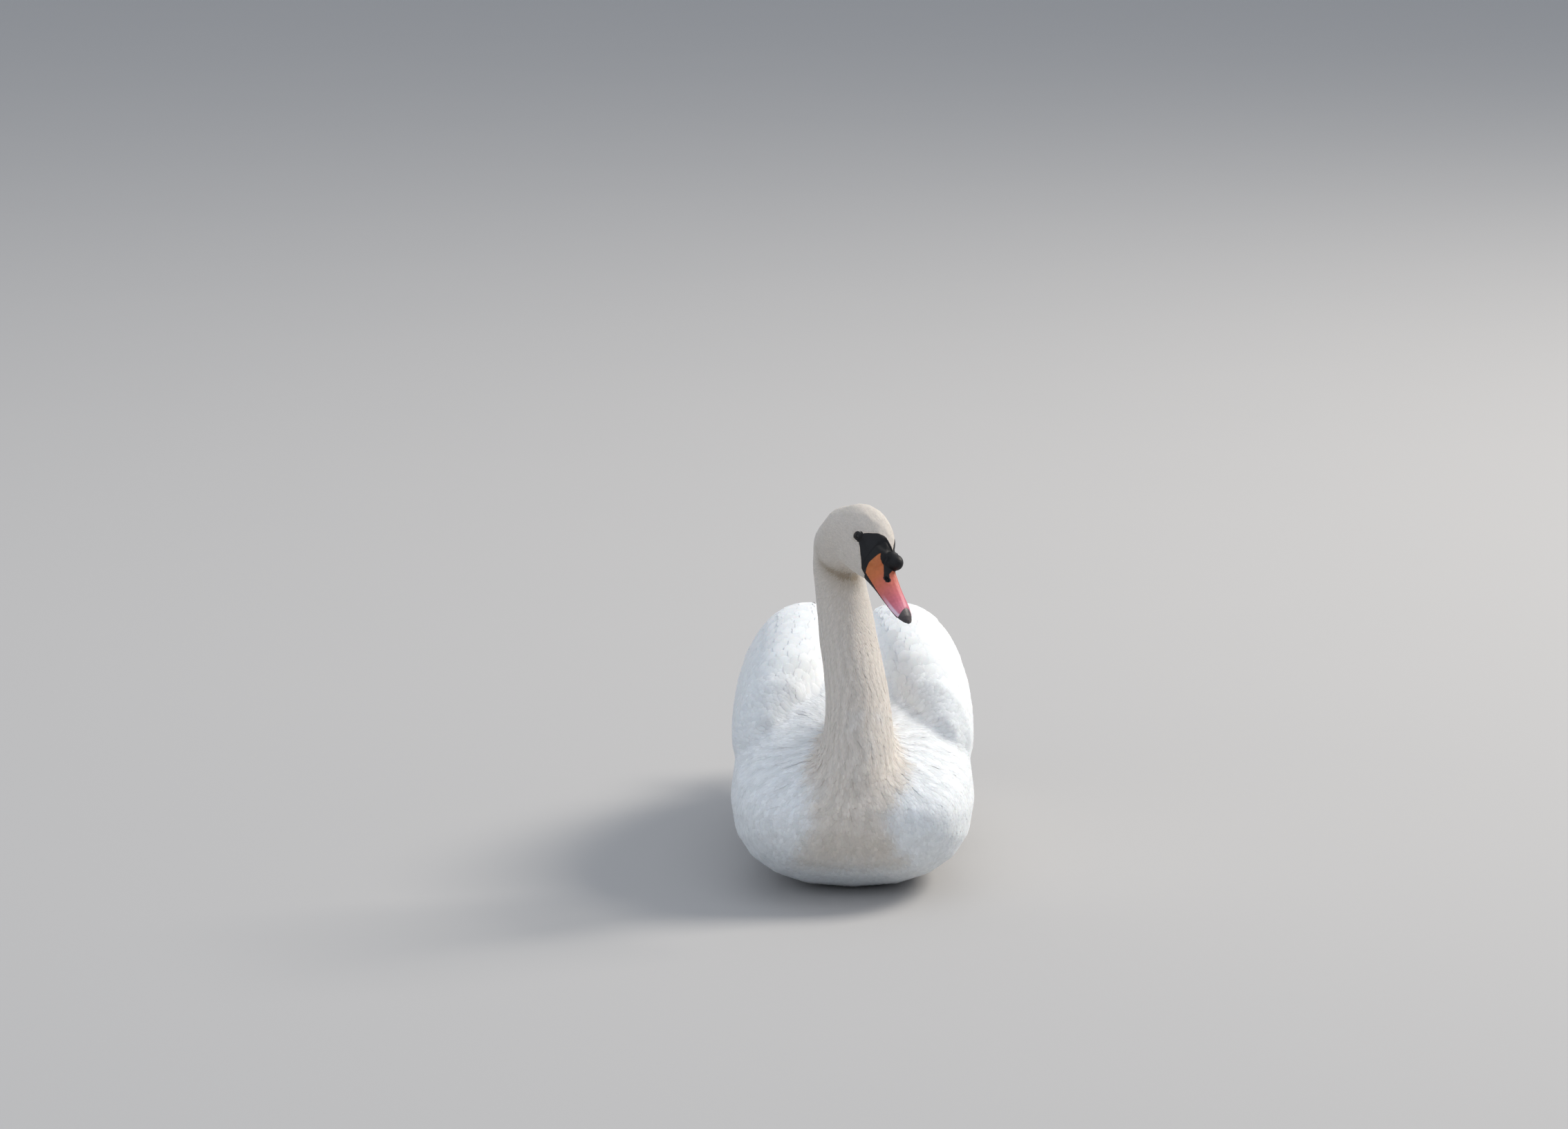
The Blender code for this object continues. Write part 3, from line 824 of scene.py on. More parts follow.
class Skin:
    """One skin over head, neck, trunk and folded wings, which also knows the lie of the feathers."""

    nodes = ("trunk", "neck_lower", "neck_upper", "head", "wing_left", "wing_right")
    cell = 0.004
    fine_cell = 0.0013
    grow = 0.0012
    # Millimetres from the middle of the head within which everything belongs to it.
    head_reach = 75.0
    # Distances over the skin are counted from what lies further forward on the head than this.
    far_from = 41.0
    # Places on the crown and nape, with the reach and height of the down that fills them out.
    swellings = (
        (-48.0, -9.0, 11.0, 13.0, 2.5), (-38.0, -8.0, 20.0, 12.0, 0.9), (-26.0, -2.0, 27.0, 16.0, 0.6))
    # The eyeball's radius and half the opening over it, in millimetres.
    eye_ball = 7.4
    eye_opening = 3.4
    # The width of the black ring about the opening, and how far from the eye the lids reach.
    eye_ring = 2.1
    eye_reach = 14.0
    # What closes the shins' sockets: the share of the shin that it is centred on, and its radius.
    plug_at = 0.25
    plug_radius = 0.0135
    # The widest value of bare, on either side of the plumage's edge.
    bare_limit = 30.0
    # Distances from the bill over the skin, and in millimetres how deep the coat is there.
    coat_far = (0.0, 0.06, 0.12, 0.25, 0.40, 0.52)
    coat_depth = (0.7, 0.9, 1.4, 2.0, 2.6, 3.4)
    # Where the skin's underside ends, above the coat on the floor.
    belly = 0.0045
    # The line of the fold below the cheek, in millimetres in the room.
    fold_mm = ((-42, -268, 405), (-36, -268, 391), (-23, -270, 382), (-9, -266, 376), (3, -256, 373))
    fold_depth = 1.6
    # The field's level at the fold's deepest: above 1 it is painted shade in the crease, not stain.
    fold_shade_level = 1.9

    def __init__(self, pose: HeadPose, marks: FaceMarks, spine: Spine) -> None:
        """Keeps the shared measurements."""
        self.pose, self.marks, self.spine = pose, marks, spine

    def build(self) -> Object:
        """Makes the skin and its fields, and returns the finished piece."""
        mesh = self._refined(remeshed(self._plugged(joined_copies(self.nodes + EYES, self.grow)), self.cell))
        self._fit_head(mesh)
        points = mesh_points(mesh)
        local = self.pose.to_local(points)
        near_face = smooth_step(local[:, 0], -20, 5) * (lengths(local) < self.head_reach)
        relaxed(mesh, 14, 0.85 * near_face)
        self._round_nape(mesh)
        self._measure(mesh)
        self._inset(mesh)
        self._eyelids(mesh)
        self._index(mesh)
        set_attribute(mesh, "stain", self.stain)
        set_attribute(mesh, "bare", self.bare)
        return add_piece("skin", mesh, SkinFinish().material(), self.nodes)

    def _plugged(self, mesh: Mesh) -> Mesh:
        """Fills the sockets of the shins, so that the skin closes round them."""
        shape = shape_of(mesh)
        top, heel = np.array(SHIN)
        for _, sign in SIDES:
            middle = (top + (heel - top) * self.plug_at) * [sign, 1.0, 1.0]
            bmesh.ops.create_uvsphere(shape, u_segments=20, v_segments=12, radius=self.plug_radius,
                                      matrix=Matrix.Translation(Vector(middle)))
        return settled(shape, mesh)

    def _refined(self, mesh: Mesh) -> Mesh:
        """Splits the head's faces so that the face can hold its folds."""
        shape = shape_of(mesh)
        eyes = self._eye_centres()
        # First the whole head, then its face, then a ring about each eye, in millimetres.
        backs, eye_reach = (-46.0, -6.0, None), 9.5
        front, half_width, low, high = 62, 34, -46, 40
        for back in backs:
            local = self.pose.to_local(np.array([vertex.co[:] for vertex in shape.verts]))
            if back is None:
                chosen = np.min([lengths(local - eye) for eye in eyes], 0) < eye_reach
            else:
                x, y, z = local.T
                chosen = (x > back) & (x < front) & (np.abs(y) < half_width) & (z > low) & (z < high)
            shape.verts.index_update()
            edges = [edge for edge in shape.edges if all(chosen[end.index] for end in edge.verts)]
            bmesh.ops.subdivide_edges(shape, edges=edges, cuts=1, use_grid_fill=True)
            odd = [face for face in shape.faces if len(face.verts) > 4]
            bmesh.ops.triangulate(shape, faces=odd)
        return settled(shape, mesh)

    def _eye_centres(self) -> Array:
        """Both eyes' middles on the head's axes."""
        return self.pose.to_local(np.array([eye_middle(side) for side in ("right", "left")]))

    def _fit_head(self, mesh: Mesh) -> None:
        """Lays the head's finer faces on an evenly rounded head."""
        target = remeshed(joined_copies(("head", "neck_upper") + EYES, self.grow), self.fine_cell)
        relaxed(target, 12)
        tree = tree_of(target)
        points = mesh_points(mesh)
        x, y, z = self.pose.to_local(points).T
        share = smooth_step(x, -46, -34) * (np.abs(y) < 36) * smooth_step(z, -48, -38)
        for index in np.flatnonzero(share > 0.01):
            place = tree.find_nearest(Vector(points[index]))[0]
            points[index] += (np.array(place) - points[index]) * share[index]
        place_points(mesh, points)
        bpy.data.meshes.remove(target)

    def _round_nape(self, mesh: Mesh) -> None:
        """Runs the crown into the neck without a dip."""
        points, edges = mesh_points(mesh), mesh_edges(mesh)
        local = self.pose.to_local(points)
        nape, reach, rounds = -34.0, 15.0, 260
        share = hump(local[:, 0] - nape, reach) * smooth_step(local[:, 2], -8, 10)
        share *= lengths(local) < self.head_reach
        even = spread(points, edges, rounds)
        filled = points + (even - points) * share[:, None]
        normals = mesh_normals(mesh)
        out = ((filled - points) * normals).sum(1)
        swell = np.zeros(len(points))
        for *middle, reach, height in self.swellings:
            swell += height * MM * hump(lengths(local - np.array(middle)), reach)
        points = points + normals * (np.maximum(out, 0.0) + swell)[:, None]
        place_points(mesh, points)

    def _measure(self, mesh: Mesh) -> None:
        """Works out distance from the bill, the flow of the feathers, stain with the fold's painted shade,
        and bare skin.
        """
        points, normals, edges = mesh_points(mesh), mesh_normals(mesh), mesh_edges(mesh)
        local = self.pose.to_local(points)
        from_head = lengths(local)
        self.bare = np.where(from_head < 80, self.marks.bare(local), -self.bare_limit)
        self.bare = np.clip(self.bare, -self.bare_limit, self.bare_limit)
        links = self._links(mesh, edges)
        ahead = (local[:, 0] > self.far_from) & (from_head < self.head_reach)
        self.far = spread(self._distances(points, links, np.flatnonzero(ahead)), edges, 6)
        self.flow = self._flowing(points, normals, edges, links)
        self.wing = self._winged(points, edges)
        self.stain = self._stain_and_fold_shade(points, edges)

    def _flowing(self, points: Array, normals: Array, edges: Array,
                 links: Array) -> Array:
        """Which way the feathers lie: away from the bill, and towards the tail behind the neck's foot."""
        step = points[links[:, 1]] - points[links[:, 0]]
        rise = (self.far[links[:, 1]] - self.far[links[:, 0]])[:, None] * step
        rise /= np.maximum((step * step).sum(1), 1e-12)[:, None]
        flow = np.stack([np.bincount(links[:, 0], rise[:, k], len(points)) for k in range(3)], 1)
        flow = unit(flow - dot(flow, normals) * normals)
        behind = smooth_step(points[:, 1] - FRONT_Y, 0.03, 0.17) * smooth_step(self.far, 0.30, 0.42)
        tailward = np.array([0.0, 1.0, 0.0]) - normals[:, 1:2] * normals
        flow = unit(flow) * (1.0 - 0.85 * behind[:, None]) + tailward * (1.6 * behind[:, None])
        flow = spread(flow, edges, 14)
        return unit(flow - dot(flow, normals) * normals)

    def _winged(self, points: Array, edges: Array) -> Array:
        """1 where the skin covers a folded wing and 0 elsewhere."""
        trees = [tree_of(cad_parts[f"wing_{side}"].data) for side, _ in SIDES]
        reach, near = 0.006, 0.0035
        wing = np.zeros(len(points))
        for index in np.flatnonzero((points[:, 2] > 0.10) & (points[:, 1] > FRONT_Y + 0.12)):
            gaps = [tree.find_nearest(Vector(points[index]), reach)[3] for tree in trees]
            wing[index] = any(gap is not None and gap < near for gap in gaps)
        return spread(wing, edges, 3)

    def _links(self, mesh: Mesh, edges: Array) -> Array:
        """Edges both ways, with the diagonals of the quads."""
        quads = np.array([list(face.vertices) for face in mesh.polygons if len(face.vertices) == 4])
        both = np.concatenate((edges, quads[:, [0, 2]], quads[:, [1, 3]]))
        return np.concatenate((both, both[:, ::-1]))

    def _distances(self, points: Array, links: Array, sources: Array) -> Array:
        """Shortest way over the skin from the sources to each vertex."""
        order = np.argsort(links[:, 0], kind="stable")
        ends = links[order]
        cost = lengths(points[ends[:, 0]] - points[ends[:, 1]]).tolist()
        first = np.searchsorted(ends[:, 0], np.arange(len(points) + 1)).tolist()
        others = ends[:, 1].tolist()
        far = [math.inf] * len(points)
        queue: list[tuple[float, int]] = []
        for source in sources.tolist():
            far[source] = 0.0
            heappush(queue, (0.0, source))
        while queue:
            so_far, here = heappop(queue)
            if so_far > far[here]:
                continue
            for link in range(first[here], first[here + 1]):
                there, total = others[link], so_far + cost[link]
                if total < far[there]:
                    far[there] = total
                    heappush(queue, (total, there))
        found = np.array(far)
        return np.where(np.isfinite(found), found, 0.0)

    def _stain_and_fold_shade(self, points: Array, edges: Array) -> Array:
        """How far water weed has coloured each place, from 0 to 1, with painted shade in the fold below the
        cheek above 1.
        """
        table = np.array(self.spine.base_mm) * MM
        high = points[:, 2] - WATERLINE_Z
        middle_x, middle_y, wide, deep = (np.interp(high, table[:, 0], table[:, k]) for k in (1, 2, 3, 4))
        ragged = 0.10 * wavering(points, 0.026, 5)
        out = np.hypot((points[:, 0] - middle_x) / wide, (points[:, 1] - FRONT_Y - middle_y) / deep) + ragged
        # The stain fades between the neck's outline and this many times it, widest at the front and ends.
        narrow, broad = 1.14, 1.42
        ahead = smooth_step(FRONT_Y + middle_y - points[:, 1], -0.015, 0.025)
        by_height = np.interp(high, (0.015, 0.055, 0.095, 0.110), (broad, narrow, narrow, broad))
        outer = np.maximum(narrow + 0.28 * ahead, by_height)
        stain = 1.0 - smooth_step((out - 1.0) / (outer - 1.0), 0.0, 1.0)
        stain *= smooth_step(high, -0.085, -0.015)
        head = np.interp(self.far, (0.05, 0.09, 0.15), (1.15, 1.2, 1.0))
        on_neck = ((self.far < 0.30) & (high > 0.135)) | (high > 0.20)
        stain = np.where(on_neck, head, stain * (1.0 - np.clip(self.wing, 0.0, 1.0)))
        stain = spread(stain, edges, 4)
        # Painted shade: the fold below the cheek lifts the field above 1, towards the fold's dark colour.
        return stain + self._fold(points) * np.maximum(self.fold_shade_level - stain, 0.0)

    def _fold(self, points: Array) -> Array:
        """Nearness to the fold where the cheek meets the neck, from 0 to 1, which sinks the skin there and
        sets the painted shade in and about the crease.
        """
        line = np.array(self.fold_mm) * MM
        best = np.full(len(points), np.inf)
        for start, end in zip(line[:-1], line[1:]):
            best = np.minimum(best, lengths(nearest_on(points, start, end)[1]))
        along = smooth_step(-points[:, 2], -0.398, -0.378)
        crease, shade = hump(best, 0.0055), 0.38 * hump(best, 0.0160)
        return np.maximum(crease, shade) * (0.25 + 0.75 * along)

    def _inset(self, mesh: Mesh) -> None:
        """Sinks the skin below the solids by the coat's depth."""
        points, normals, edges = mesh_points(mesh), mesh_normals(mesh), mesh_edges(mesh)
        depth = np.interp(self.far, self.coat_far, self.coat_depth) * MM
        forward = self.pose.to_local(points)[:, 0]
        # Bare skin lies almost on the solids, and deeper where horn covers it.
        bare_depth, horn_depth = 0.15, 1.6
        covered = smooth_step(self.bare, 1.6, 5.0) * smooth_step(forward, 26.0, 31.0)
        depth = np.where(self.bare > 0, (bare_depth + horn_depth * covered) * MM, depth)
        depth = spread(depth, edges, 2) + self._fold(points) * self.fold_depth * MM
        points = points - normals * (depth + self.grow)[:, None]
        local = self.pose.to_local(points)
        hidden = smooth_step(self.bare, 6.0, 10.0) * smooth_step(local[:, 0], 29.0, 35.0)
        within_bill, drawn_in = np.array([26.0, 0.0, -9.0]), 0.35
        local += (within_bill - local) * (drawn_in * hidden)[:, None]
        points[hidden > 0] = self.pose.to_room(local)[hidden > 0]
        points[:, 2] = np.maximum(points[:, 2], self.belly)
        place_points(mesh, points)

    def _eyelids(self, mesh: Mesh) -> None:
        """Raises a rim of lid about each eye and opens the skin over the ball."""
        points = mesh_points(mesh)
        local = self.pose.to_local(points)
        for eye in self._eye_centres():
            gap = local - eye
            far = lengths(gap)
            # Beyond the opening's edge, which is wider than it is high, less inside it.
            out = np.hypot(gap[:, 0] / 1.10, gap[:, 2] / 0.92)
            near = (far < self.eye_reach) & (gap[:, 1] * eye[1] > 0)
            inner = smooth_step(out, self.eye_opening - 0.9, self.eye_opening + 0.5)
            lid = (self.eye_ball - 0.9) + inner * (1.35 - 0.20 * (out - self.eye_opening))
            keep = smooth_step(out, self.eye_opening + 0.9, self.eye_opening + 5.4)
            wanted = lid * (1.0 - keep) + far * keep
            way = gap / np.maximum(far, 1e-9)[:, None]
            local = np.where(near[:, None], eye + way * wanted[:, None], local)
            to_ring = self.eye_opening + self.eye_ring - out
            self.bare = np.where(near & (to_ring > 0), np.maximum(self.bare, to_ring), self.bare)
        touched = lengths(local - self.pose.to_local(points)) > 1e-6
        points[touched] = self.pose.to_room(local)[touched]
        place_points(mesh, points)

    def _index(self, mesh: Mesh) -> None:
        """Prepares quick answers for the feathers."""
        self.points = mesh_points(mesh)
        normals = spread(mesh_normals(mesh), mesh_edges(mesh), 2)
        mesh.calc_loop_triangles()
        self.triangles = rows_of(mesh.loop_triangles, "vertices", 3, np.int32)
        self.tree = BVHTree.FromPolygons(self.points.tolist(), self.triangles.tolist())
        corner = self.points[self.triangles]
        crossed = np.cross(corner[:, 1] - corner[:, 0], corner[:, 2] - corner[:, 0])
        self.area = lengths(crossed) / 2
        self.middle = corner.mean(1)
        self.face = {
            "normal": unit(normals[self.triangles].mean(1)),
            "flow": unit(self.flow[self.triangles].mean(1)),
        }
        for name in ("far", "wing", "stain", "bare"):
            self.face[name] = getattr(self, name)[self.triangles].mean(1)

    def nearest(self, places: Array) -> tuple[Array, Array]:
        """The skin's nearest points.

        Args:
            places: N by 3.

        Returns:
            The points and the numbers of their triangles.
        """
        found = [self.tree.find_nearest(place) for place in places.tolist()]
        return np.array([hit[0][:] for hit in found]), np.array([hit[2] for hit in found])

    def struck(self, origins: Array, ways: Array) -> tuple[Array, Array, Array]:
        """Where rays first meet the skin: the points, their triangles and which rays met it."""
        hits = [self.tree.ray_cast(start, way) for start, way in zip(origins.tolist(), ways.tolist())]
        met = np.array([hit[0] is not None for hit in hits])
        places = np.array([hit[0][:] if hit[0] is not None else (0.0, 0.0, 0.0) for hit in hits])
        return places[met], np.array([hit[2] or 0 for hit in hits])[met], met


# ---------------------------------------------------------------- vanes


class Cut(Enum):
    """The outlines of a vane: how far along each rib lies, and its share of the width."""

    TUFT = ((0.30, 0.85), (0.70, 0.90))
    LANCE = ((0.16, 0.62), (0.48, 1.0), (0.80, 0.62))
    ROUND = ((0.12, 0.42), (0.45, 0.90), (0.76, 1.0), (0.94, 0.60))
    COVERT = ((0.08, 0.34), (0.30, 0.80), (0.55, 1.0), (0.78, 0.95), (0.91, 0.68), (0.98, 0.32))
    FLIGHT = ((0.03, 0.16), (0.12, 0.62), (0.26, 0.90), (0.44, 1.0), (0.62, 1.0), (0.77, 0.92),
              (0.88, 0.74), (0.95, 0.48), (0.99, 0.20))


# Where the ribs of the long feathers lie across the vane.
FINE_RIBS = (-1.0, -0.5, 0.0, 0.5, 1.0)


@dataclass
class Batch:
    """Vanes of one outline, laid out and ready to become mesh."""

    cut: Cut
    centres: Array
    normals: Array
    sides: Array
    half: Array
    lift: Array
    tone: Array
    stain: Array
    roots: Array
    # How high the middle arches over the edges, how far the edges droop, and the thickness in metres.
    crown: float = 0.09
    droop: float = 0.55
    thickness: float = 0.00012
    # Where the ribs lie across the vane.
    ribs: tuple[float, ...] = (-1.0, 0.0, 1.0)

    def arrays(self) -> dict[str, Array]:
        """Vertices, faces, sharp edges and map places of the whole batch."""
        shares = np.array([share for share, _ in self.cut.value])
        widths = np.array([width for _, width in self.cut.value])
        count, rows, across = len(self.half), len(shares), np.array(self.ribs)
        half = self.half[:, None] * widths
        inner = slice(1, rows + 1)
        base = self.centres[:, inner] + self.normals[:, inner] * self.lift[:, inner, None]
        ribs = base[:, :, None] + self.sides[:, inner, None] * (half[:, :, None] * across)[..., None]
        arch = (half[:, :, None] * self.crown + self.thickness) * (1.0 - across**2)
        droop = half[:, :, None] * self.crown * self.droop
        ribs = ribs + self.normals[:, inner, None] * (arch - droop)[..., None]
        root = self.centres[:, :1] + self.normals[:, :1] * self.lift[:, :1, None]
        tip = self.centres[:, -1:] + self.normals[:, -1:] * self.lift[:, -1:, None]
        per = rows * len(across) + 2
        vertices = np.concatenate((root, ribs.reshape(count, -1, 3), tip), 1).reshape(-1, 3)
        faces, sharp = self._pattern(rows, len(across))
        chart = [(0.5, 0.0), *(((place + 1) / 2, share) for share in shares for place in across), (0.5, 1.0)]
        offset = (np.arange(count) * per)[:, None, None]
        return {
            "vertices": vertices,
            "quads": (np.array(faces[0]) + offset).reshape(-1, 4),
            "triangles": (np.array(faces[1]) + offset).reshape(-1, 3),
            "sharp": (np.array(sharp) + offset).reshape(-1, 2),
            "vane": np.tile(np.array(chart), (count, 1)),
            "tone": np.repeat(self.tone, per),
            "stain": np.repeat(self.stain, per),
            "roots": np.repeat(self.roots, per, axis=0),
        }

    def _pattern(self, rows: int, width: int) -> tuple[tuple[list, list], list]:
        """Faces and sharp edges of one vane."""
        quads, triangles, sharp = [], [], []
        last, tip = 1 + (rows - 1) * width, 1 + rows * width
        for row in range(rows - 1):
            low, high = 1 + row * width, 1 + (row + 1) * width
            quads += [(low + k, low + k + 1, high + k + 1, high + k) for k in range(width - 1)]
            quads.append((low + width - 1, low, high, high + width - 1))
            sharp += [(low, high), (low + width - 1, high + width - 1)]
        triangles += [(0, 1 + k + 1, 1 + k) for k in range(width - 1)] + [(0, 1, width)]
        triangles += [(last + k, last + k + 1, tip) for k in range(width - 1)]
        triangles.append((last + width - 1, last, tip))
        sharp += [(0, 1), (0, width), (last, tip), (last + width - 1, tip)]
        return (quads, triangles), sharp


class Plumage:
    """Lays vanes over the skin and joins them into pieces."""

    # The size of one vane's patch on the map OFBake, and the lowest place that a vane may reach.
    patch = 0.003
    floor = 0.0003

    def __init__(self, skin: Skin, pose: HeadPose, spine: Spine) -> None:
        """Keeps the skin that the vanes grow from."""
        self.skin, self.pose, self.spine = skin, pose, spine

    def scatter(self, chosen: Array, spacing: Array, seed: int) -> tuple[Array, Array]:
        """Evenly scattered roots.

        Args:
            chosen: Which of the skin's triangles may hold roots.
            spacing: The distance between roots on each triangle, in metres.
            seed: Which of many patterns.

        Returns:
            The roots and the numbers of their triangles.
        """
        dice = np.random.default_rng(seed)
        tries = 3.2
        weight = np.where(chosen, self.skin.area / spacing**2, 0.0)
        count = int(weight.sum() * tries)
        faces = dice.choice(len(weight), count, p=weight / weight.sum())
        one, two = np.sqrt(dice.random(count)), dice.random(count)
        corner = self.skin.points[self.skin.triangles[faces]]
        shares = np.stack((1 - one, one * (1 - two), one * two), 1)
        places = (corner * shares[..., None]).sum(1)
        tree = KDTree(count)
        listed = places.tolist()
        for index, place in enumerate(listed):
            tree.insert(place, index)
        tree.balance()
        free = np.ones(count, bool)
        reach = spacing[faces].tolist()
        for index in range(count):
            if free[index]:
                for _, other, _ in tree.find_range(listed[index], reach[index]):
                    free[other] = other == index or (other < index and free[other])
        return places[free], faces[free]

    def lay(self, cut: Cut, roots: Array, faces: Array, length: Array, half: Array,
            lift: Array, seed: int, yaw: float | Array = 0.10, bend: float = 0.05,
            flow: Array | None = None, tone: float = 0.04, stiff: float = 0.35,
            turn: Array | None = None) -> Batch:
        """Lays vanes from their roots along the flow, following the skin.

        Args:
            cut: Their outline.
            roots: Where they start.
            faces: The skin's triangles there.
            length: Their lengths in metres.
            half: Half their widths.
            lift: How high their tips stand off.
            seed: Which random draws.
            yaw: Spread of their turn to the side, in radians.
            bend: Spread of their sideways curve, as a share of the length.
            flow: Directions, if they aren't the skin's.
            tone: Spread of their brightness.
            stiff: How far a vane may stay off a skin that curves away, as a share of each step.
            turn: A set turn to the side for each, in radians.

        Returns:
            The batch.
        """
        dice = np.random.default_rng(seed)
        count = len(roots)
        shares = np.array([0.0] + [share for share, _ in cut.value] + [1.0])
        normal = self.skin.face["normal"][faces]
        way = self.skin.face["flow"][faces] if flow is None else flow
        way = unit(way - dot(way, normal) * normal)
        angle = dice.normal(size=count) * yaw + (0.0 if turn is None else turn)
        way = way * np.cos(angle)[:, None] + np.cross(normal, way) * np.sin(angle)[:, None]
        place, curve = roots, dice.normal(size=count) * bend
        centres, normals, sides = [place], [normal], [unit(np.cross(normal, way))]
        for step in np.diff(shares):
            stride = (step * length)[:, None]
            aim = place + way * stride
            found, face = self.skin.nearest(aim)
            gap = aim - found
            far = np.linalg.norm(gap, axis=1, keepdims=True)
            kept = np.maximum(far - stiff * stride, 0.0)
            place = found + gap * kept / np.maximum(far, 1e-9)
            normal = unit(self.skin.face["normal"][face] + normal * (0.4 + 2.0 * (kept > 0)))
            way = way - dot(way, normal) * normal
            way = unit(way + np.cross(normal, way) * (curve * 2.0 * step)[:, None])
            centres.append(place)
            normals.append(normal)
            sides.append(unit(np.cross(normal, way)))
        height = (-0.10 + 1.10 * (1.0 - (1.0 - shares) ** 1.7)) * lift[:, None]
        brightness = 1.0 + np.clip(dice.normal(size=count) * tone, -2.5 * tone, 2.5 * tone)
        return Batch(cut, np.stack(centres, 1), np.stack(normals, 1), np.stack(sides, 1), half, height,
                     brightness, self.skin.face["stain"][faces], roots)

    def piece(self, name: str, batches: Sequence[Batch], material: Material, slot: str,
              replaces: Sequence[str] = ()) -> Object:
        """Joins batches into one piece with its maps.

        Args:
            name: The piece's name.
            batches: What it is made of.
            material: Its finish.
            slot: Not used.
            replaces: CAD nodes that it stands for.

        Returns:
            The piece.
        """
        parts = [batch.arrays() for batch in batches]
        starts = np.cumsum([0] + [len(part["vertices"]) for part in parts])
        joined = {key: np.concatenate([part[key] for part in parts])
                  for key in ("vertices", "vane", "tone", "stain", "roots")}
        shifted = {key: np.concatenate([part[key] + start for part, start in zip(parts, starts)])
                   for key in ("quads", "triangles", "sharp")}
        joined["vertices"][:, 2] = np.maximum(joined["vertices"][:, 2], self.floor)
        corners = np.concatenate((shifted["quads"].ravel(), shifted["triangles"].ravel())).astype(np.int32)
        sizes = np.concatenate((np.full(len(shifted["quads"]), 4), np.full(len(shifted["triangles"]), 3)))
        mesh = bpy.data.meshes.new(name)
        mesh.vertices.add(len(joined["vertices"]))
        mesh.vertices.foreach_set("co", joined["vertices"].astype(np.float32).ravel())
        mesh.loops.add(len(corners))
        mesh.loops.foreach_set("vertex_index", corners)
        mesh.polygons.add(len(sizes))
        mesh.polygons.foreach_set("loop_start", np.concatenate(([0], np.cumsum(sizes)[:-1])).astype(np.int32))
        mesh.update(calc_edges=True)
        self._sharpen(mesh, shifted["sharp"])
        along, angle = self.spine.chart(self.pose, joined["roots"])
        chart = np.stack((self._fitted(angle), self._fitted(along)), 1) + (joined["vane"] - 0.5) * self.patch
        for title, places in (("OFBake", chart), ("Vane", joined["vane"])):
            layer = mesh.uv_layers.new(name=title)
            layer.data.foreach_set("uv", np.ascontiguousarray(places[corners], np.float32).ravel())
        set_attribute(mesh, "tone", joined["tone"])
        set_attribute(mesh, "stain", joined["stain"])
        return add_piece(name, mesh, material, replaces)

    def _fitted(self, values: Array) -> Array:
        """Values scaled to run from 0.01 to 0.99."""
        return 0.01 + 0.98 * (values - values.min()) / max(np.ptp(values), 1e-9)

    def _sharpen(self, mesh: Mesh, sharp: Array) -> None:
        """Marks the vanes' rims, so that their upper faces shade on their own."""
        wanted, edges = (np.sort(pairs, axis=1).astype(np.int64) for pairs in (sharp, mesh_edges(mesh)))
        weights = np.array([len(mesh.vertices), 1])
        marked = np.isin(edges @ weights, wanted @ weights)
        made = mesh.attributes.get("sharp_edge") or mesh.attributes.new("sharp_edge", "BOOLEAN", "EDGE")
        made.data.foreach_set("value", marked)


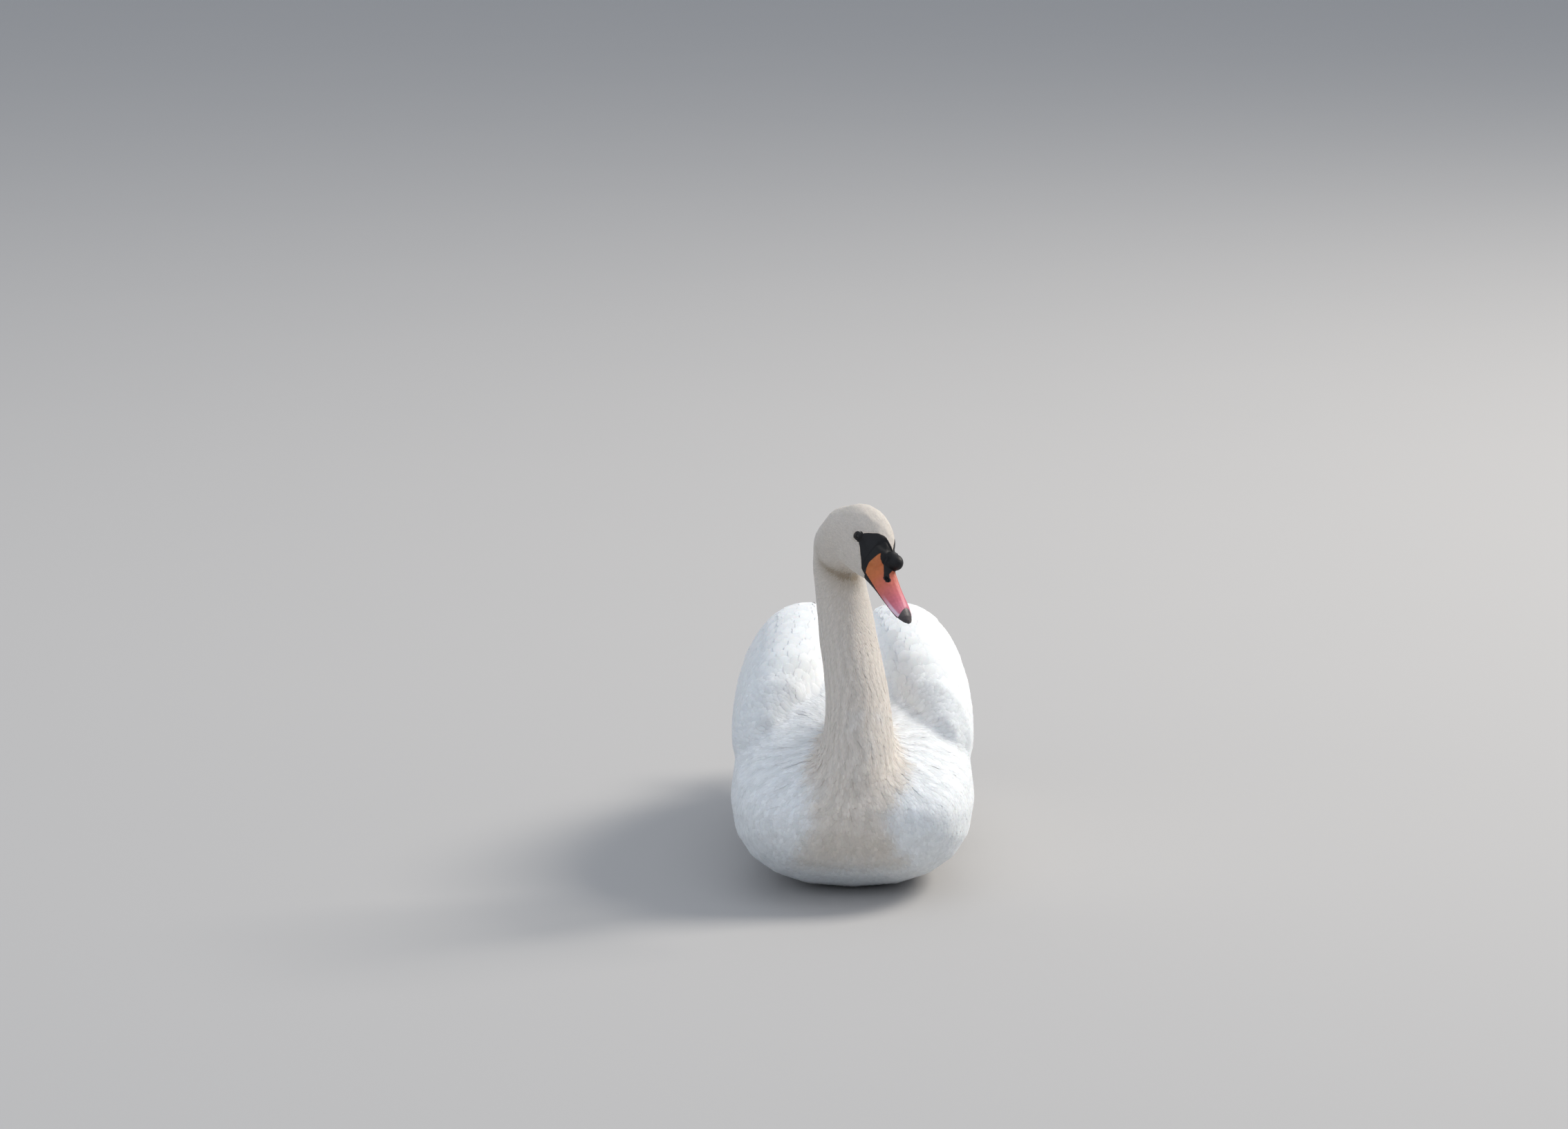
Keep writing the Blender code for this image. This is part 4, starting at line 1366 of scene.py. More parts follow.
@dataclass
class Coat:
    """The contour feathers of head, neck and body: how long, how wide and how dense they are everywhere."""

    plumage: Plumage
    finish: Material
    # The neck's pieces: where each starts and ends along the skin from the bill, and its vanes' outline.
    neck_bands: tuple[tuple[str, float, float, Cut], ...] = (
        ("coat_face", 0.0, 0.052, Cut.TUFT), ("coat_nape", 0.052, 0.110, Cut.TUFT),
        ("coat_neck_upper", 0.110, 0.215, Cut.LANCE), ("coat_neck_middle", 0.215, 0.310, Cut.LANCE),
        ("coat_neck_lower", 0.310, 0.400, Cut.ROUND))
    # Behind the breast's front, in metres.
    breast_ends: float = 0.15
    rump_starts: float = 0.42
    # Distance from the bill over the skin, and the sizes there, in metres.
    far: tuple[float, ...] = (0.0, 0.03, 0.08, 0.16, 0.26, 0.38, 0.47, 0.60)
    length: tuple[float, ...] = (0.0026, 0.0038, 0.0062, 0.0100, 0.0135, 0.0170, 0.0210, 0.0270)
    slender: tuple[float, ...] = (0.20, 0.19, 0.17, 0.145, 0.14, 0.165, 0.19, 0.20)
    packing: tuple[float, ...] = (0.235, 0.190, 0.155, 0.140, 0.124, 0.118, 0.110, 0.120)
    lift: tuple[float, ...] = (0.00020, 0.00028, 0.00038, 0.0005, 0.0006, 0.0008, 0.0012, 0.0022)
    furrows: int = 30
    # Painted light and shade on the neck's furrows: how much lighter vanes are on the ridges and darker in
    # the furrows.
    furrow_shade: float = 0.065
    shin_clear: float = 0.0118

    def build(self) -> list[Object]:
        """Makes every contour piece."""
        skin = self.plumage.skin
        face = skin.face
        neck = PlumageFinish("plumage_neck", barbs=18.0).material()
        clear = (face["bare"] < -0.6) & (face["far"] > 0.004) & (self._off_shins() > self.shin_clear)
        clear &= face["wing"] <= 0.5
        front = skin.middle[:, 1] - FRONT_Y
        made = []
        for seed, (name, low, high, cut) in enumerate(self.neck_bands):
            chosen = clear & (face["far"] >= low) & (face["far"] < high)
            made.append(self._band(name, chosen, cut, neck, 11 + seed))
        rest = clear & (face["far"] >= self.neck_bands[-1][2])
        left = skin.middle[:, 0] > 0
        breast, rump = front < self.breast_ends, front >= self.rump_starts
        flank = ~breast & ~rump
        bands = (("coat_breast_left", breast & left), ("coat_breast_right", breast & ~left),
                 ("coat_flank_left", flank & left), ("coat_flank_right", flank & ~left), ("coat_rump", rump))
        for seed, (name, chosen) in enumerate(bands):
            made.append(self._band(name, rest & chosen, Cut.ROUND, self.finish, 31 + seed))
        return made

    def _band(self, name: str, chosen: Array, cut: Cut, finish: Material,
              seed: int) -> Object:
        """One piece of the coat.

        Args:
            name: Its name.
            chosen: The skin's triangles that it grows from.
            cut: The outline of its vanes.
            finish: Its material.
            seed: Which random draws.

        Returns:
            The piece.
        """
        skin = self.plumage.skin
        span = np.interp(skin.face["far"], self.far, self.length)
        packing = np.interp(skin.face["far"], self.far, self.packing)
        roots, faces = self.plumage.scatter(chosen, span * packing, seed)
        far = skin.face["far"][faces]
        dice = np.random.default_rng(seed + 500)
        length = span[faces] * dice.uniform(0.85, 1.15, len(roots))
        half = length * np.interp(far, self.far, self.slender) * dice.uniform(0.85, 1.15, len(roots))
        lift = np.interp(far, self.far, self.lift) * dice.uniform(0.75, 1.15, len(roots))
        turn, valley = self._furrows(roots, far)
        lift = lift * (1.0 + 0.15 * valley)
        batch = self.plumage.lay(cut, roots, faces, length, half, lift, seed, yaw=0.09, turn=turn)
        # Painted light and shade: vanes lighter on the furrows' ridges and darker between them.
        batch.tone = batch.tone * (1.0 + self.furrow_shade * valley)
        slot = "feather" if finish is self.finish else "neck_feather"
        return self.plumage.piece(name, [batch], finish, slot)

    def _off_shins(self) -> Array:
        """Distance from each of the skin's triangles to the nearer shin's axis."""
        top, heel = np.array(SHIN)
        middle = self.plumage.skin.middle
        gaps = [nearest_on(middle, top * [sign, 1, 1], heel * [sign, 1, 1])[1] for _, sign in SIDES]
        return np.minimum(*(lengths(gap) for gap in gaps))

    def _furrows(self, roots: Array, far: Array) -> tuple[Array, Array]:
        """The neck's upright furrows: the turn of each vane towards its ridge, and its height on it."""
        most_turn = 0.38
        _, angle = self.plumage.spine.chart(self.plumage.pose, roots)
        strength = smooth_step(far, 0.10, 0.20) * (1.0 - smooth_step(far, 0.34, 0.46))
        phase = angle / (2 * math.pi) * self.furrows + 0.75 * wavering(roots, 0.060, 9)
        inside = phase - np.round(phase)
        return most_turn * inside * strength, np.cos(2 * math.pi * inside) * strength


@dataclass
class Wing:
    """One folded wing: rows of coverts, scapulars over them, and the long inner flight feathers."""

    plumage: Plumage
    side: str
    # Behind the breast's front: the dome's middle line across and above the floor, in millimetres.
    middle_mm: tuple[Triple, ...] = (
        (138, 106, 176), (200, 92, 190), (250, 85, 197), (310, 81, 203), (370, 78, 205), (430, 73, 205),
        (490, 66, 204), (545, 56, 203), (595, 45, 201), (640, 34, 198), (688, 24, 195))
    # Each covert row: place, length, half width and lift, in millimetres.
    rows: tuple[tuple[float, float, float, float], ...] = (
        (214, 30, 7.6, 1.6), (224, 31, 7.8, 1.7), (234, 32, 8.0, 1.8), (245, 33, 8.4, 1.9),
        (256, 35, 8.8, 2.0), (268, 37, 9.2, 2.1), (281, 40, 9.8, 2.3), (295, 44, 10.4, 2.5),
        (310, 48, 11, 2.8), (327, 54, 11.6, 3.1), (346, 60, 12.2, 3.4), (367, 70, 13, 3.8),
        (391, 84, 14.5, 4.3), (414, 100, 15.5, 4.8))
    quills: tuple[tuple[float, float, float, float], ...] = (
        (424, 132, 14.5, 4.6), (442, 150, 15.0, 5.2), (460, 166, 15.5, 5.8), (482, 168, 15.0, 6.4))
    # Where the coverts' rows start and end round the dome, in degrees up from level.
    covert_arc: tuple[float, float] = (-62, 104)
    # The first scapular row's place in millimetres, and the first, last and number of the steps on from it.
    scapulars_from: float = 172.0
    scapular_steps: tuple[float, float, int] = (9.0, 20.0, 23)
    # Strewn coverts, in metres: the lesser ones' length by distance behind the breast, and the lower ones'.
    lesser_at: tuple[float, ...] = (0.13, 0.16, 0.20, 0.24)
    lesser_length: tuple[float, ...] = (0.016, 0.018, 0.024, 0.030)
    lesser_end: float = 0.232
    under_start: float = 0.21
    under_length: float = 0.036
    slender: float = 0.22
    # From the dome's middle line to where the search for its surface starts, in metres.
    outside: float = 0.25

    def build(self, finish: Material) -> list[Object]:
        """Makes the wing's pieces."""
        skin = self.plumage.skin
        sign = dict(SIDES)[self.side]
        front = skin.middle[:, 1] - FRONT_Y
        ours = (skin.face["wing"] > 0.5) & (skin.middle[:, 0] * sign > 0.0)
        lesser, under = ours & (front < self.lesser_end), ours & (front >= self.under_start)
        lesser_span = np.interp(front, self.lesser_at, self.lesser_length)
        under_span = np.full(len(front), self.under_length)
        seed = 71 if self.side == "left" else 81
        dice = np.random.default_rng(seed + 3)
        coverts = [self._strewn(lesser, lesser_span, 0.17, 0.12, 0.0013, dice, (seed, seed)),
                   self._strewn(under, under_span, 0.16, 0.15, 0.0014, dice, (seed + 1, seed + 2))]
        coverts += [self._row(index, row, sign, self.covert_arc, Cut.COVERT, seed + 10 + index)
                    for index, row in enumerate(self.rows)]
        scapulars = []
        steps = np.concatenate(([0.0], np.linspace(*self.scapular_steps)))
        for index, on in enumerate(np.cumsum(steps)):
            row = (self.scapulars_from + on, 26 + 0.19 * on, 7.2 + 0.026 * on, 1.8 + 0.008 * on)
            arc = (86 - 0.05 * on, 152)
            scapulars.append(self._row(index, row, sign, arc, Cut.COVERT, seed + 40 + index))
        quills = [self._row(index, row, sign, (-34 + 9 * index, 84), Cut.FLIGHT, seed + 70 + index, 0.85)
                  for index, row in enumerate(self.quills)]
        pieces = (("coat_coverts", coverts), ("coat_scapulars", scapulars), ("flight_inner", quills))
        return [self.plumage.piece(f"{name}_{self.side}", batches, finish, "feather")
                for name, batches in pieces]

    def _strewn(self, chosen: Array, span: Array, packing: float, uneven: float, lift: float,
                dice: np.random.Generator, seeds: tuple[int, int]) -> Batch:
        """Small coverts strewn over a part of the dome.

        Args:
            chosen: The skin's triangles that they grow from.
            span: Their length on each triangle, in metres.
            packing: The distance between roots, as a share of the length.
            uneven: How far lengths stray, as a share of the length.
            lift: How high their tips stand off.
            dice: What draws their lengths.
            seeds: Which random draws for the roots, and for the lay.

        Returns:
            The batch.
        """
        roots, faces = self.plumage.scatter(chosen, span * packing, seeds[0])
        length = span[faces] * dice.uniform(1.0 - uneven, 1.0 + uneven, len(roots))
        lifts = np.full(len(roots), lift)
        return self.plumage.lay(Cut.ROUND, roots, faces, length, length * self.slender, lifts, seeds[1])

    def _row(self, index: int, row: tuple[float, float, float, float], sign: float,
             arc: tuple[float, float], cut: Cut, seed: int, gap: float = 1.35) -> Batch:
        """One row of vanes across the dome.

        Args:
            index: The row's number, for its stagger.
            row: Place, length, half width and lift in millimetres.
            sign: 1 for the left wing and -1 for the right.
            arc: Where the row starts and ends, in degrees up from level.
            cut: The vanes' outline.
            seed: Which random draws.
            gap: The distance between vanes, in half widths.

        Returns:
            The row.
        """
        place, length, half, lift = row
        skin = self.plumage.skin
        dice = np.random.default_rng(seed)
        table = np.array(self.middle_mm)
        middle = np.array([np.interp(place, table[:, 0], table[:, 1]) * sign * MM, FRONT_Y + place * MM,
                           np.interp(place, table[:, 0], table[:, 2]) * MM])
        fine = np.radians(np.linspace(arc[0], arc[1], 90))
        ways = np.stack((np.cos(fine) * sign, np.zeros(len(fine)), np.sin(fine)), 1)
        points, _, met = skin.struck(middle + ways * self.outside, -ways)
        fine = fine[met]
        run = np.concatenate(([0.0], np.cumsum(lengths(np.diff(points, axis=0)))))
        count = max(2, int(run[-1] / (half * gap * MM)))
        stops = (np.arange(count) + (0.25 if index % 2 else 0.75)) / count * run[-1]
        angle = np.interp(stops, run, fine) + dice.normal(size=count) * 0.012
        ways = np.stack((np.cos(angle) * sign, np.zeros(count), np.sin(angle)), 1)
        jitter = np.array([0, 1, 0]) * (dice.normal(size=count) * 0.0018)[:, None]
        starts = middle + ways * self.outside + jitter
        roots, faces, met = skin.struck(starts, -ways)
        count = len(roots)
        sizes = length * MM * dice.uniform(0.93, 1.07, count)
        flow = unit(skin.face["flow"][faces] + np.array([0.0, 1.6, 0.0]))
        batch = self.plumage.lay(cut, roots, faces, sizes, half * MM * dice.uniform(0.94, 1.06, count),
                                 lift * MM * dice.uniform(0.9, 1.1, count), seed, yaw=0.04, bend=0.03,
                                 flow=flow, tone=0.02, stiff=0.12 if cut is Cut.FLIGHT else 0.35)
        if cut is Cut.FLIGHT:
            batch.ribs, batch.crown = FINE_RIBS, 0.13
        return batch


@dataclass
class FlightFan:
    """Long feathers that stand free of the skin: the primaries' stacked tips and the tail."""

    plumage: Plumage
    primaries: int = 8
    # The tail's quills, and the coverts over them.
    tail_counts: tuple[int, int] = (22, 17)
    # Where the tail's feathers start, behind the breast's front.
    tail_root: float = 0.655

    def build(self, finish: Material) -> list[Object]:
        """Makes both hands of primaries and the tail."""
        fans = [(f"primaries_fan_{side}", [self._primaries(sign)], f"primaries_{side}")
                for side, sign in SIDES]
        fans.append(("tail_fan", [self._tail(False), self._tail(True)], "tail"))
        return [self.plumage.piece(name, batches, finish, "feather", [node])
                for name, batches, node in fans]

    def _blades(self, roots: Array, tips: Array, up: Array, half: Array, arch: float,
                seed: int) -> Batch:
        """Straight long vanes, gently arched.

        Args:
            roots: Where they start.
            tips: Where they end.
            up: Which way their upper sides face.
            half: Half their widths.
            arch: How high their middles rise.
            seed: Which random draws.

        Returns:
            The batch.
        """
        dice = np.random.default_rng(seed)
        shares = np.array([0.0] + [share for share, _ in Cut.FLIGHT.value] + [1.0])
        line = roots[:, None] + (tips - roots)[:, None] * shares[None, :, None]
        line = line + up[:, None] * (arch * 4 * shares * (1 - shares))[None, :, None]
        way = unit(tips - roots)
        normal = np.repeat(unit(up - dot(up, way) * way)[:, None], len(shares), 1)
        side = np.cross(normal, way[:, None])
        lift = np.zeros((len(roots), len(shares)))
        batch = Batch(Cut.FLIGHT, line, normal, side, half, lift, 1.0 + dice.normal(size=len(roots)) * 0.015,
                      np.zeros(len(roots)), roots)
        batch.ribs, batch.crown = FINE_RIBS, 0.10
        return batch

    def _primaries(self, sign: float) -> Batch:
        """Eight primaries stacked under one another, the longest lowest."""
        order = np.arange(self.primaries)
        share = order / (self.primaries - 1.0)
        roots = np.stack(
            (sign * (0.050 - 0.006 * share), FRONT_Y + 0.585 + 0.006 * order, 0.187 - 0.0012 * order), 1)
        tips = np.stack(
            (sign * (0.026 - 0.019 * share), FRONT_Y + 0.690 + 0.095 * share, 0.190 - 0.0010 * order), 1)
        up = unit(np.stack((sign * (0.55 - 0.1 * share), np.full(len(order), 0.02), np.ones(len(order))), 1))
        return self._blades(roots, tips, up, 0.0145 - 0.0045 * share, 0.002, 91 + int(sign))

    def _tail(self, coverts: bool) -> Batch:
        """The tail's quills, or the coverts over their roots."""
        count = self.tail_counts[coverts]
        across = np.linspace(-1.0, 1.0, count)
        layer = 0.0045 * (1.0 - np.abs(across)) + (0.004 if coverts else 0.0)
        reach = (0.085 - 0.025 * np.abs(across) ** 2) if coverts else (0.172 - 0.085 * np.abs(across) ** 1.5)
        spread_out = 0.040 if coverts else 0.050
        low = 0.0022 * (np.arange(count) % 2)
        root_y = FRONT_Y + self.tail_root
        roots = np.stack((across * 0.032, np.full(count, root_y), 0.163 + layer - low), 1)
        tips = np.stack((across * spread_out, root_y + reach, 0.1685 + 0.6 * layer - low), 1)
        up = unit(np.stack((across * 0.30, np.full(count, -0.03), np.ones(count)), 1))
        half = np.full(count, 0.0125 if coverts else 0.0115)
        return self._blades(roots, tips, up, half, 0.003, 97 + coverts)


# ---------------------------------------------------------------- bill, eyes, feet


@dataclass
class Bill:
    """The horn of both jaws, with the knob run into the forehead."""

    pose: HeadPose
    marks: FaceMarks
    cell: float = 0.00068
    knob: Triple = (52.0, 0.0, -3.0)
    nostril: Triple = (64.3, 8.8, -15.2)
    # Half the length and height of the nostril's black patch.
    nostril_patch: tuple[float, float] = (5.0, 2.5)
    # Middles and radii of the swellings that run the knob into the forehead.
    fillers: tuple[tuple[Triple, Triple], ...] = (
        ((43.5, 0.0, 5.0), (10.5, 7.6, 6.4)), ((49.5, 0.0, -2.0), (8.0, 8.2, 7.5)))

    def build(self) -> list[Object]:
        """Makes the upper and the lower bill."""
        finish = BillFinish().material()
        return [self._upper(finish), self._lower(finish)]

    def _upper(self, finish: Material) -> Object:
        """The upper bill with knob, nostrils, nail and the bare skin at its root."""
        mesh = remeshed(self._with_forehead(), self.cell)
        local = self.pose.to_local(mesh_points(mesh))
        tip = smooth_step(local[:, 0], 104, 110)
        relaxed(mesh, 5)
        points = mesh_points(mesh)
        evened = spread(points, mesh_edges(mesh), 22)
        from_knob = lengths(local - np.array(self.knob))
        about_knob = hump(from_knob - 9.0, 6.0)
        share = np.maximum(0.18, about_knob) * (1.0 - 0.7 * tip)
        points = points + (evened - points) * share[:, None]
        place_points(mesh, points)
        normals = mesh_normals(mesh)
        local = self.pose.to_local(points)
        sink = self._nostrils(local) + self._grooves(local)
        cover = smooth_step(local[:, 0], 23.5, 28.5) * smooth_step(self.marks.bare(local), 0.2, 2.6)
        # The bare skin at the root stands a little proud, and what the plumage covers is sunk.
        proud, under_plumage, under_brow = 0.25, 3.4, 2.3
        sink = sink - cover * (1.0 - smooth_step(local[:, 0], 40, 48)) * proud
        local = self.pose.to_local(points - normals * (sink * MM)[:, None])
        inward = np.array([[0.0, 0.0, -9.0]]) - local * np.array([0.0, 1.0, 1.0])
        brow = smooth_step(local[:, 2], 3, 11) * (1.0 - smooth_step(local[:, 0], 39, 46))
        local += unit(inward) * (under_plumage * (1.0 - cover) + under_brow * brow * cover)[:, None]
        place_points(mesh, self.pose.to_room(local))
        return self._dressed("bill_horn_upper", mesh, finish, ("bill_upper", "bill_knob", "bill_nail"))

    def _with_forehead(self) -> Mesh:
        """Copies of the bill's solids with the front of the head."""
        mesh = joined_copies(("head",), -0.00005)
        there = self.pose.matrix()
        shape = shape_of(mesh)
        bpy.data.meshes.remove(mesh)
        plane = there @ Vector((0.0225, 0.0, 0.0))
        parts = {"geom": shape.verts[:] + shape.edges[:] + shape.faces[:], "dist": 1e-6}
        forward = there.to_3x3() @ Vector((-1.0, 0.0, 0.0))
        bmesh.ops.bisect_plane(shape, plane_co=plane, plane_no=forward, clear_outer=True, **parts)
        bmesh.ops.holes_fill(shape, edges=[edge for edge in shape.edges if edge.is_boundary], sides=0)
        horn = joined_copies(("bill_upper", "bill_knob", "bill_nail"), 0.0003)
        shape.from_mesh(horn)
        for middle, radii in self.fillers:
            bulk = there @ Matrix.Translation(Vector(middle) * MM)
            bulk = bulk @ Matrix.Diagonal((*(Vector(radii) * MM), 1.0))
            bmesh.ops.create_uvsphere(shape, u_segments=24, v_segments=16, radius=1.0, matrix=bulk)
        bpy.data.meshes.remove(horn)
        return settled(shape, "horn")

    def _nostrils(self, local: Array) -> Array:
        """Depth of the two slit nostrils in millimetres, with a low rim."""
        (x, y, z), (ahead, across, up) = self.nostril, local.T
        slope, half_length, half_width = 0.28, 4.6, 1.5
        along = (ahead - x) * math.cos(slope) - (up - z) * math.sin(slope)
        above = (ahead - x) * math.sin(slope) + (up - z) * math.cos(slope)
        ring = np.hypot(along / half_length, above / half_width)
        beside = np.abs(np.abs(across) - y) < 7.0
        slit, rim = 2.4 * (1.0 - smooth_step(ring, 0.45, 1.1)), 0.35 * hump(ring - 1.6, 0.4)
        return (slit - rim) * beside

    def _grooves(self, local: Array) -> Array:
        """Depth of the line round the nail and of the groove above the cutting edge."""
        x, _, z = local.T
        nail = hump(self.marks.nail(local), 0.55) * 0.35
        edge = np.interp(x, (33, 58, 85, 106, 115), (-24.6, -27.8, -32.2, -34.4, -35.6))
        lip = hump(z - edge, 0.7) * 0.30 * smooth_step(x, 38, 46)
        return nail + lip * (1.0 - smooth_step(x, 104, 110))

    def _lower(self, finish: Material) -> Object:
        """The lower bill."""
        mesh = remeshed(joined_copies(("bill_lower",), 0.0001), self.cell)
        relaxed(mesh, 8)
        return self._dressed("bill_horn_lower", mesh, finish, ("bill_lower",))

    def _dressed(self, name: str, mesh: Mesh, finish: Material,
                 nodes: Sequence[str]) -> Object:
        """Stores the colour fields and makes the piece.

        Args:
            name: The piece's name.
            mesh: Its shape.
            finish: Its material.
            nodes: CAD nodes that it stands for.

        Returns:
            The piece.
        """
        local = self.pose.to_local(mesh_points(mesh))
        marks, lower, (x, _, z) = self.marks, "lower" in name, local.T
        wide, high = self.nostril_patch
        nostril = np.hypot((x - self.nostril[0]) / wide, (z - self.nostril[2]) / high)
        orange = np.minimum(marks.orange(local), (nostril - 1.0) * high)
        edge = np.interp(x, (33, 58, 85, 106, 119), (-26.0, -29.4, -33.6, -35.6, -37.0))
        outside = np.full(len(local), -4.0)
        set_attribute(mesh, "orange", outside if lower else orange)
        set_attribute(mesh, "reach", (x - marks.bill_root) / (marks.bill_tip - marks.bill_root))
        set_attribute(mesh, "nail", outside if lower else marks.nail(local))
        set_attribute(mesh, "edge", hump(z - edge - 1.5, 2.2))
        return add_piece(name, mesh, finish, nodes)


@dataclass
class Eyes:
    """Two wet dark eyes with the rims of their lids."""

    pose: HeadPose
    radius: float = 0.0074
    iris_radius: float = 0.0048
    # Half the opening's width and height, the exponent of its outline, and the lid's own radius.
    opening: tuple[float, float] = (0.0043, 0.0034)
    opening_power: float = 1.6
    lid_radius: float = 0.00066

    def build(self) -> list[Object]:
        """Makes both eyes."""
        finish, lid = EyeFinish().material(), LidFinish().material()
        balls = [self._eye(side, sign, finish) for side, sign in SIDES]
        return balls + [self._lids(side, sign, lid) for side, sign in SIDES]

    def _lids(self, side: str, sign: float, finish: Material) -> Object:
        """The soft black rim of both lids, lying on the ball."""
        ring = 0.004
        upright = Matrix.Translation((ring, 0.0, 0.0)) @ Matrix.Rotation(math.pi / 2, 4, "X")
        shape = bmesh.new()
        section = bmesh.ops.create_circle(shape, segments=12, radius=self.lid_radius, matrix=upright)
        rim = list({edge for vertex in section["verts"] for edge in vertex.link_edges})
        bmesh.ops.spin(shape, geom=section["verts"] + rim, axis=(0, 0, 1), cent=(0, 0, 0), angle=2 * math.pi,
                       steps=56, use_merge=True)
        bmesh.ops.remove_doubles(shape, verts=shape.verts, dist=1e-6)
        for vertex in shape.verts:
            round_at = math.atan2(vertex.co.y, vertex.co.x)
            wide, high = abs(math.cos(round_at)) / self.opening[0], abs(math.sin(round_at)) / self.opening[1]
            reach = (wide**self.opening_power + high**self.opening_power) ** (-1.0 / self.opening_power)
            out = math.hypot(vertex.co.x, vertex.co.y) - ring + reach
            rise = vertex.co.z + math.sqrt(self.radius**2 - reach**2) - 0.0002
            vertex.co = (out * math.cos(round_at), out * math.sin(round_at), rise)
        bmesh.ops.recalc_face_normals(shape, faces=shape.faces)
        mesh = settled(shape, f"eye_{side}_lids")
        axes = self.pose.matrix().to_3x3()
        out, forward = axes @ Vector((0.06, sign, 0.0)).normalized(), axes @ Vector((1.0, 0.0, 0.16))
        up = out.cross(forward).normalized()
        turn = Matrix((up.cross(out), up, out)).transposed().to_4x4()
        mesh.transform(Matrix.Translation(Vector(eye_middle(side))) @ turn)
        return add_piece(f"eye_{side}_lids", mesh, finish)

    def _eye(self, side: str, sign: float, finish: Material) -> Object:
        """One ball with a raised cornea, turned outward."""
        shape = bmesh.new()
        bmesh.ops.create_uvsphere(shape, u_segments=40, v_segments=28, radius=self.radius)
        for vertex in shape.verts:
            out = max(vertex.co.z / self.radius, 0.0)
            vertex.co *= 1.0 + 0.035 * max(out - 0.78, 0.0) / 0.22
        mesh = settled(shape, f"eye_{side}_ball")
        x, y, z = mesh_points(mesh).T
        set_attribute(mesh, "out", np.where(z > 0, np.hypot(x, y) / self.iris_radius, 2.0))
        look = (self.pose.matrix().to_3x3() @ Vector((0.22, sign, 0.05))).normalized()
        turn = look.to_track_quat("Z", "Y").to_matrix().to_4x4()
        mesh.transform(Matrix.Translation(Vector(eye_middle(side))) @ turn)
        return add_piece(f"eye_{side}_ball", mesh, finish, [f"eye_{side}"])


@dataclass
class Feet:
    """Both tucked legs with their webbed feet and claws."""

    # The left foot's toes on the floor: where they end, and where they start.
    toe_tips: tuple[tuple[float, float], ...] = ((0.056, -0.030), (0.090, -0.058), (0.121, -0.034))
    toes_root: tuple[float, float] = (0.083, 0.078)
    cell: float = 0.0016
    grow: float = 0.0004
    sink: float = 0.0003
    floor: float = 0.0002
    claw: float = 0.0085

    def build(self) -> list[Object]:
        """Makes the legs and the claws."""
        finish = FootFinish().material()
        made = []
        for side, sign in SIDES:
            nodes = (f"leg_{side}", f"foot_{side}")
            mesh = remeshed(joined_copies(nodes, self.grow), self.cell)
            relaxed(mesh, 6)
            points = mesh_points(mesh)
            points[:, 2] = np.maximum(points[:, 2] - self.sink, self.floor)
            place_points(mesh, points)
            made.append(add_piece(f"webbed_foot_{side}", mesh, finish, nodes))
            made.append(add_piece(f"claws_{side}", self._claws(sign), finish))
        return made

    def _claws(self, sign: float) -> Mesh:
        """Three short curved claws at the toes' ends."""
        shape = bmesh.new()
        root = Vector((self.toes_root[0] * sign, self.toes_root[1], 0.0))
        for across, along in self.toe_tips:
            tip = Vector((across * sign, along, 0.0048))
            way = (Vector((tip.x, tip.y, 0.0)) - root).normalized()
            turn = Matrix.Translation(tip + way * 0.0035) @ way.to_track_quat("Z", "Y").to_matrix().to_4x4()
            cone = bmesh.ops.create_cone(shape, cap_ends=True, segments=12, radius1=0.0024, radius2=0.0004,
                                         depth=self.claw, matrix=turn)
            for vertex in cone["verts"]:
                share = max((vertex.co - tip).dot(way) / self.claw, 0.0)
                vertex.co.z = max(vertex.co.z - 0.0028 * share * share, 0.0004)
        return settled(shape, "claws")


# ---------------------------------------------------------------- studio


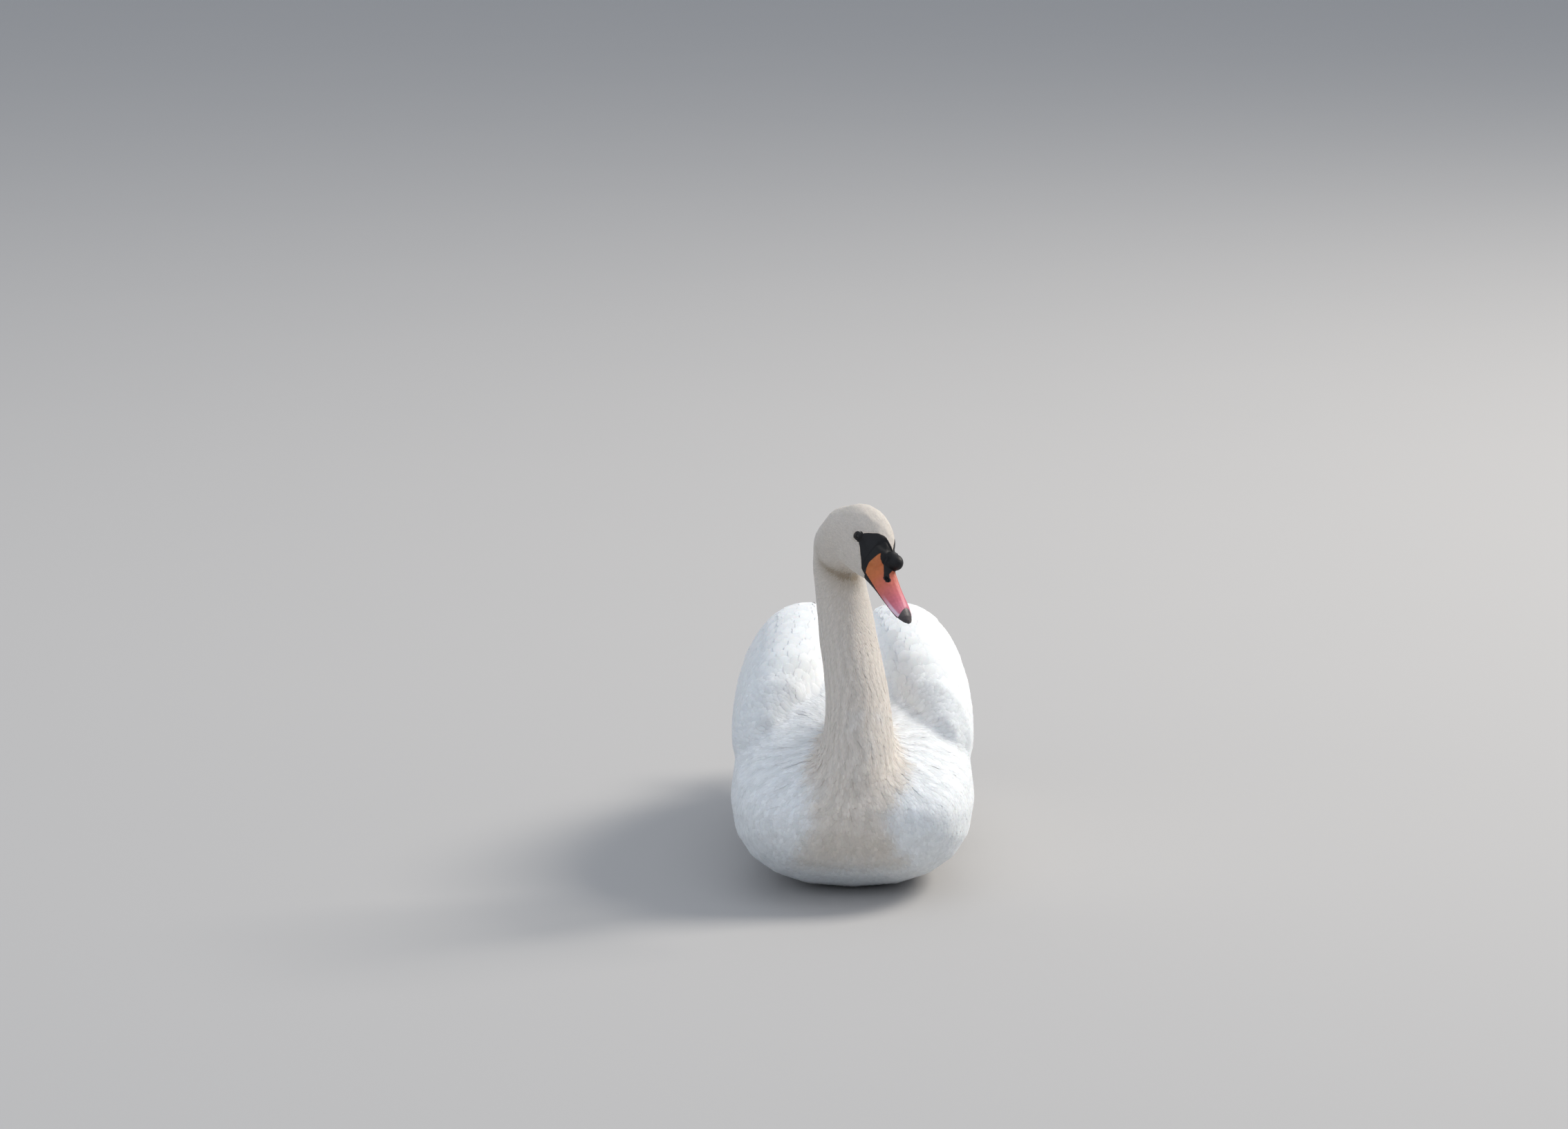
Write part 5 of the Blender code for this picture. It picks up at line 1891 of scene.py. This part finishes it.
@dataclass
class Studio:
    """Pale floor, soft warm light from the bird's left and behind, cool fill, and the camera."""

    anchor: Triple = (0.0, -0.36, 0.10)
    elevation: float = 12.5
    distance: float = 6.0
    focal: float = 7600.0
    frame_size: tuple[int, int] = (2268, 1633)
    anchor_at: tuple[float, float] = (1233.0, 1195.0)
    # What the lights aim at.
    lit: Triple = (0.0, -0.15, 0.2)
    # Name, place, size, power and colour of each.
    lights: tuple[tuple[str, Colour, float, float, Colour], ...] = (
        ("key", (6.75, 2.85, 6.45), 3.6, 900.0, (1.0, 0.93, 0.84)),
        ("fill", (-6.0, -7.0, 4.25), 8.0, 120.0, (0.86, 0.92, 1.0)),
        ("top", (0.0, -0.2, 7.0), 6.0, 50.0, (0.97, 0.98, 1.0)))
    air: Colour = (0.86, 0.91, 1.0)
    air_strength: float = 0.58

    def build(self) -> None:
        """Makes floor, lights and camera."""
        self._floor()
        for light in self.lights:
            self._light(*light)
        world = bpy.data.worlds.new("air")
        world.use_nodes = True
        background = world.node_tree.nodes["Background"]
        background.inputs["Color"].default_value = (*self.air, 1.0)
        background.inputs["Strength"].default_value = self.air_strength
        bpy.context.scene.world = world
        view = bpy.context.scene.view_settings
        view.view_transform = "Standard"
        view.look = "None"
        self._camera()

    def _floor(self) -> None:
        """A wide plain floor."""
        shape = bmesh.new()
        bmesh.ops.create_grid(shape, x_segments=1, y_segments=1, size=30.0)
        mesh = settled(shape, "floor")
        mesh.materials.append(FloorFinish().material())
        add_object("floor", mesh)

    def _light(self, name: str, place: Triple, size: float, power: float,
               colour: Colour) -> None:
        """An area light aimed at the bird.

        Args:
            name: Its name.
            place: Where it hangs.
            size: The width of its square, in metres.
            power: Its power in watts.
            colour: Its colour.
        """
        data = bpy.data.lights.new(name, "AREA")
        data.size, data.energy, data.color = size, power, colour
        made = add_object(name, data)
        made.location = place
        aim = Vector(self.lit) - Vector(place)
        made.rotation_euler = aim.to_track_quat("-Z", "Y").to_euler()

    def _camera(self) -> None:
        """The camera, turned until the anchor stands at its place in the frame."""
        data = bpy.data.cameras.new("view")
        made = add_object("view", data)
        width, height = self.frame_size
        sensor = 36.0
        data.sensor_fit, data.sensor_width = "HORIZONTAL", sensor
        data.lens = self.focal / width * sensor
        data.clip_start, data.clip_end = 0.1, 100.0
        tilt = math.radians(self.elevation)
        anchor = Vector(self.anchor)
        made.location = anchor + Vector((0.0, -math.cos(tilt), math.sin(tilt))) * self.distance
        wanted = ((self.anchor_at[0] - width / 2) / self.focal, (height / 2 - self.anchor_at[1]) / self.focal)
        yaw, pitch = 0.0, -tilt
        for _ in range(20):
            turn = Matrix.Rotation(yaw, 3, "Z") @ Matrix.Rotation(math.pi / 2 + pitch, 3, "X")
            seen = turn.transposed() @ (anchor - made.location)
            yaw += wanted[0] + seen.x / seen.z
            pitch -= wanted[1] + seen.y / seen.z
        made.rotation_euler = (math.pi / 2 + pitch, 0.0, yaw)
        bpy.context.scene.camera = made


def main() -> None:
    """Builds the studio and the bird in order, and reports each piece."""
    logging.basicConfig(level=logging.INFO, format="%(message)s")
    pose, marks, spine = HeadPose(), FaceMarks(), Spine()
    Studio().build()
    skin = Skin(pose, marks, spine)
    made = [skin.build()]
    for part in (Bill(pose, marks), Eyes(pose), Feet()):
        made += part.build()
    plumage = Plumage(skin, pose, spine)
    white = PlumageFinish("plumage_body").material()
    made += Coat(plumage, white).build()
    for side, _ in SIDES:
        made += Wing(plumage, side).build(white)
    made += FlightFan(plumage).build(white)
    for piece in made:
        LOG.info("%s: %d faces", piece.name, len(piece.data.polygons))


if __name__ == "__main__":
    main()
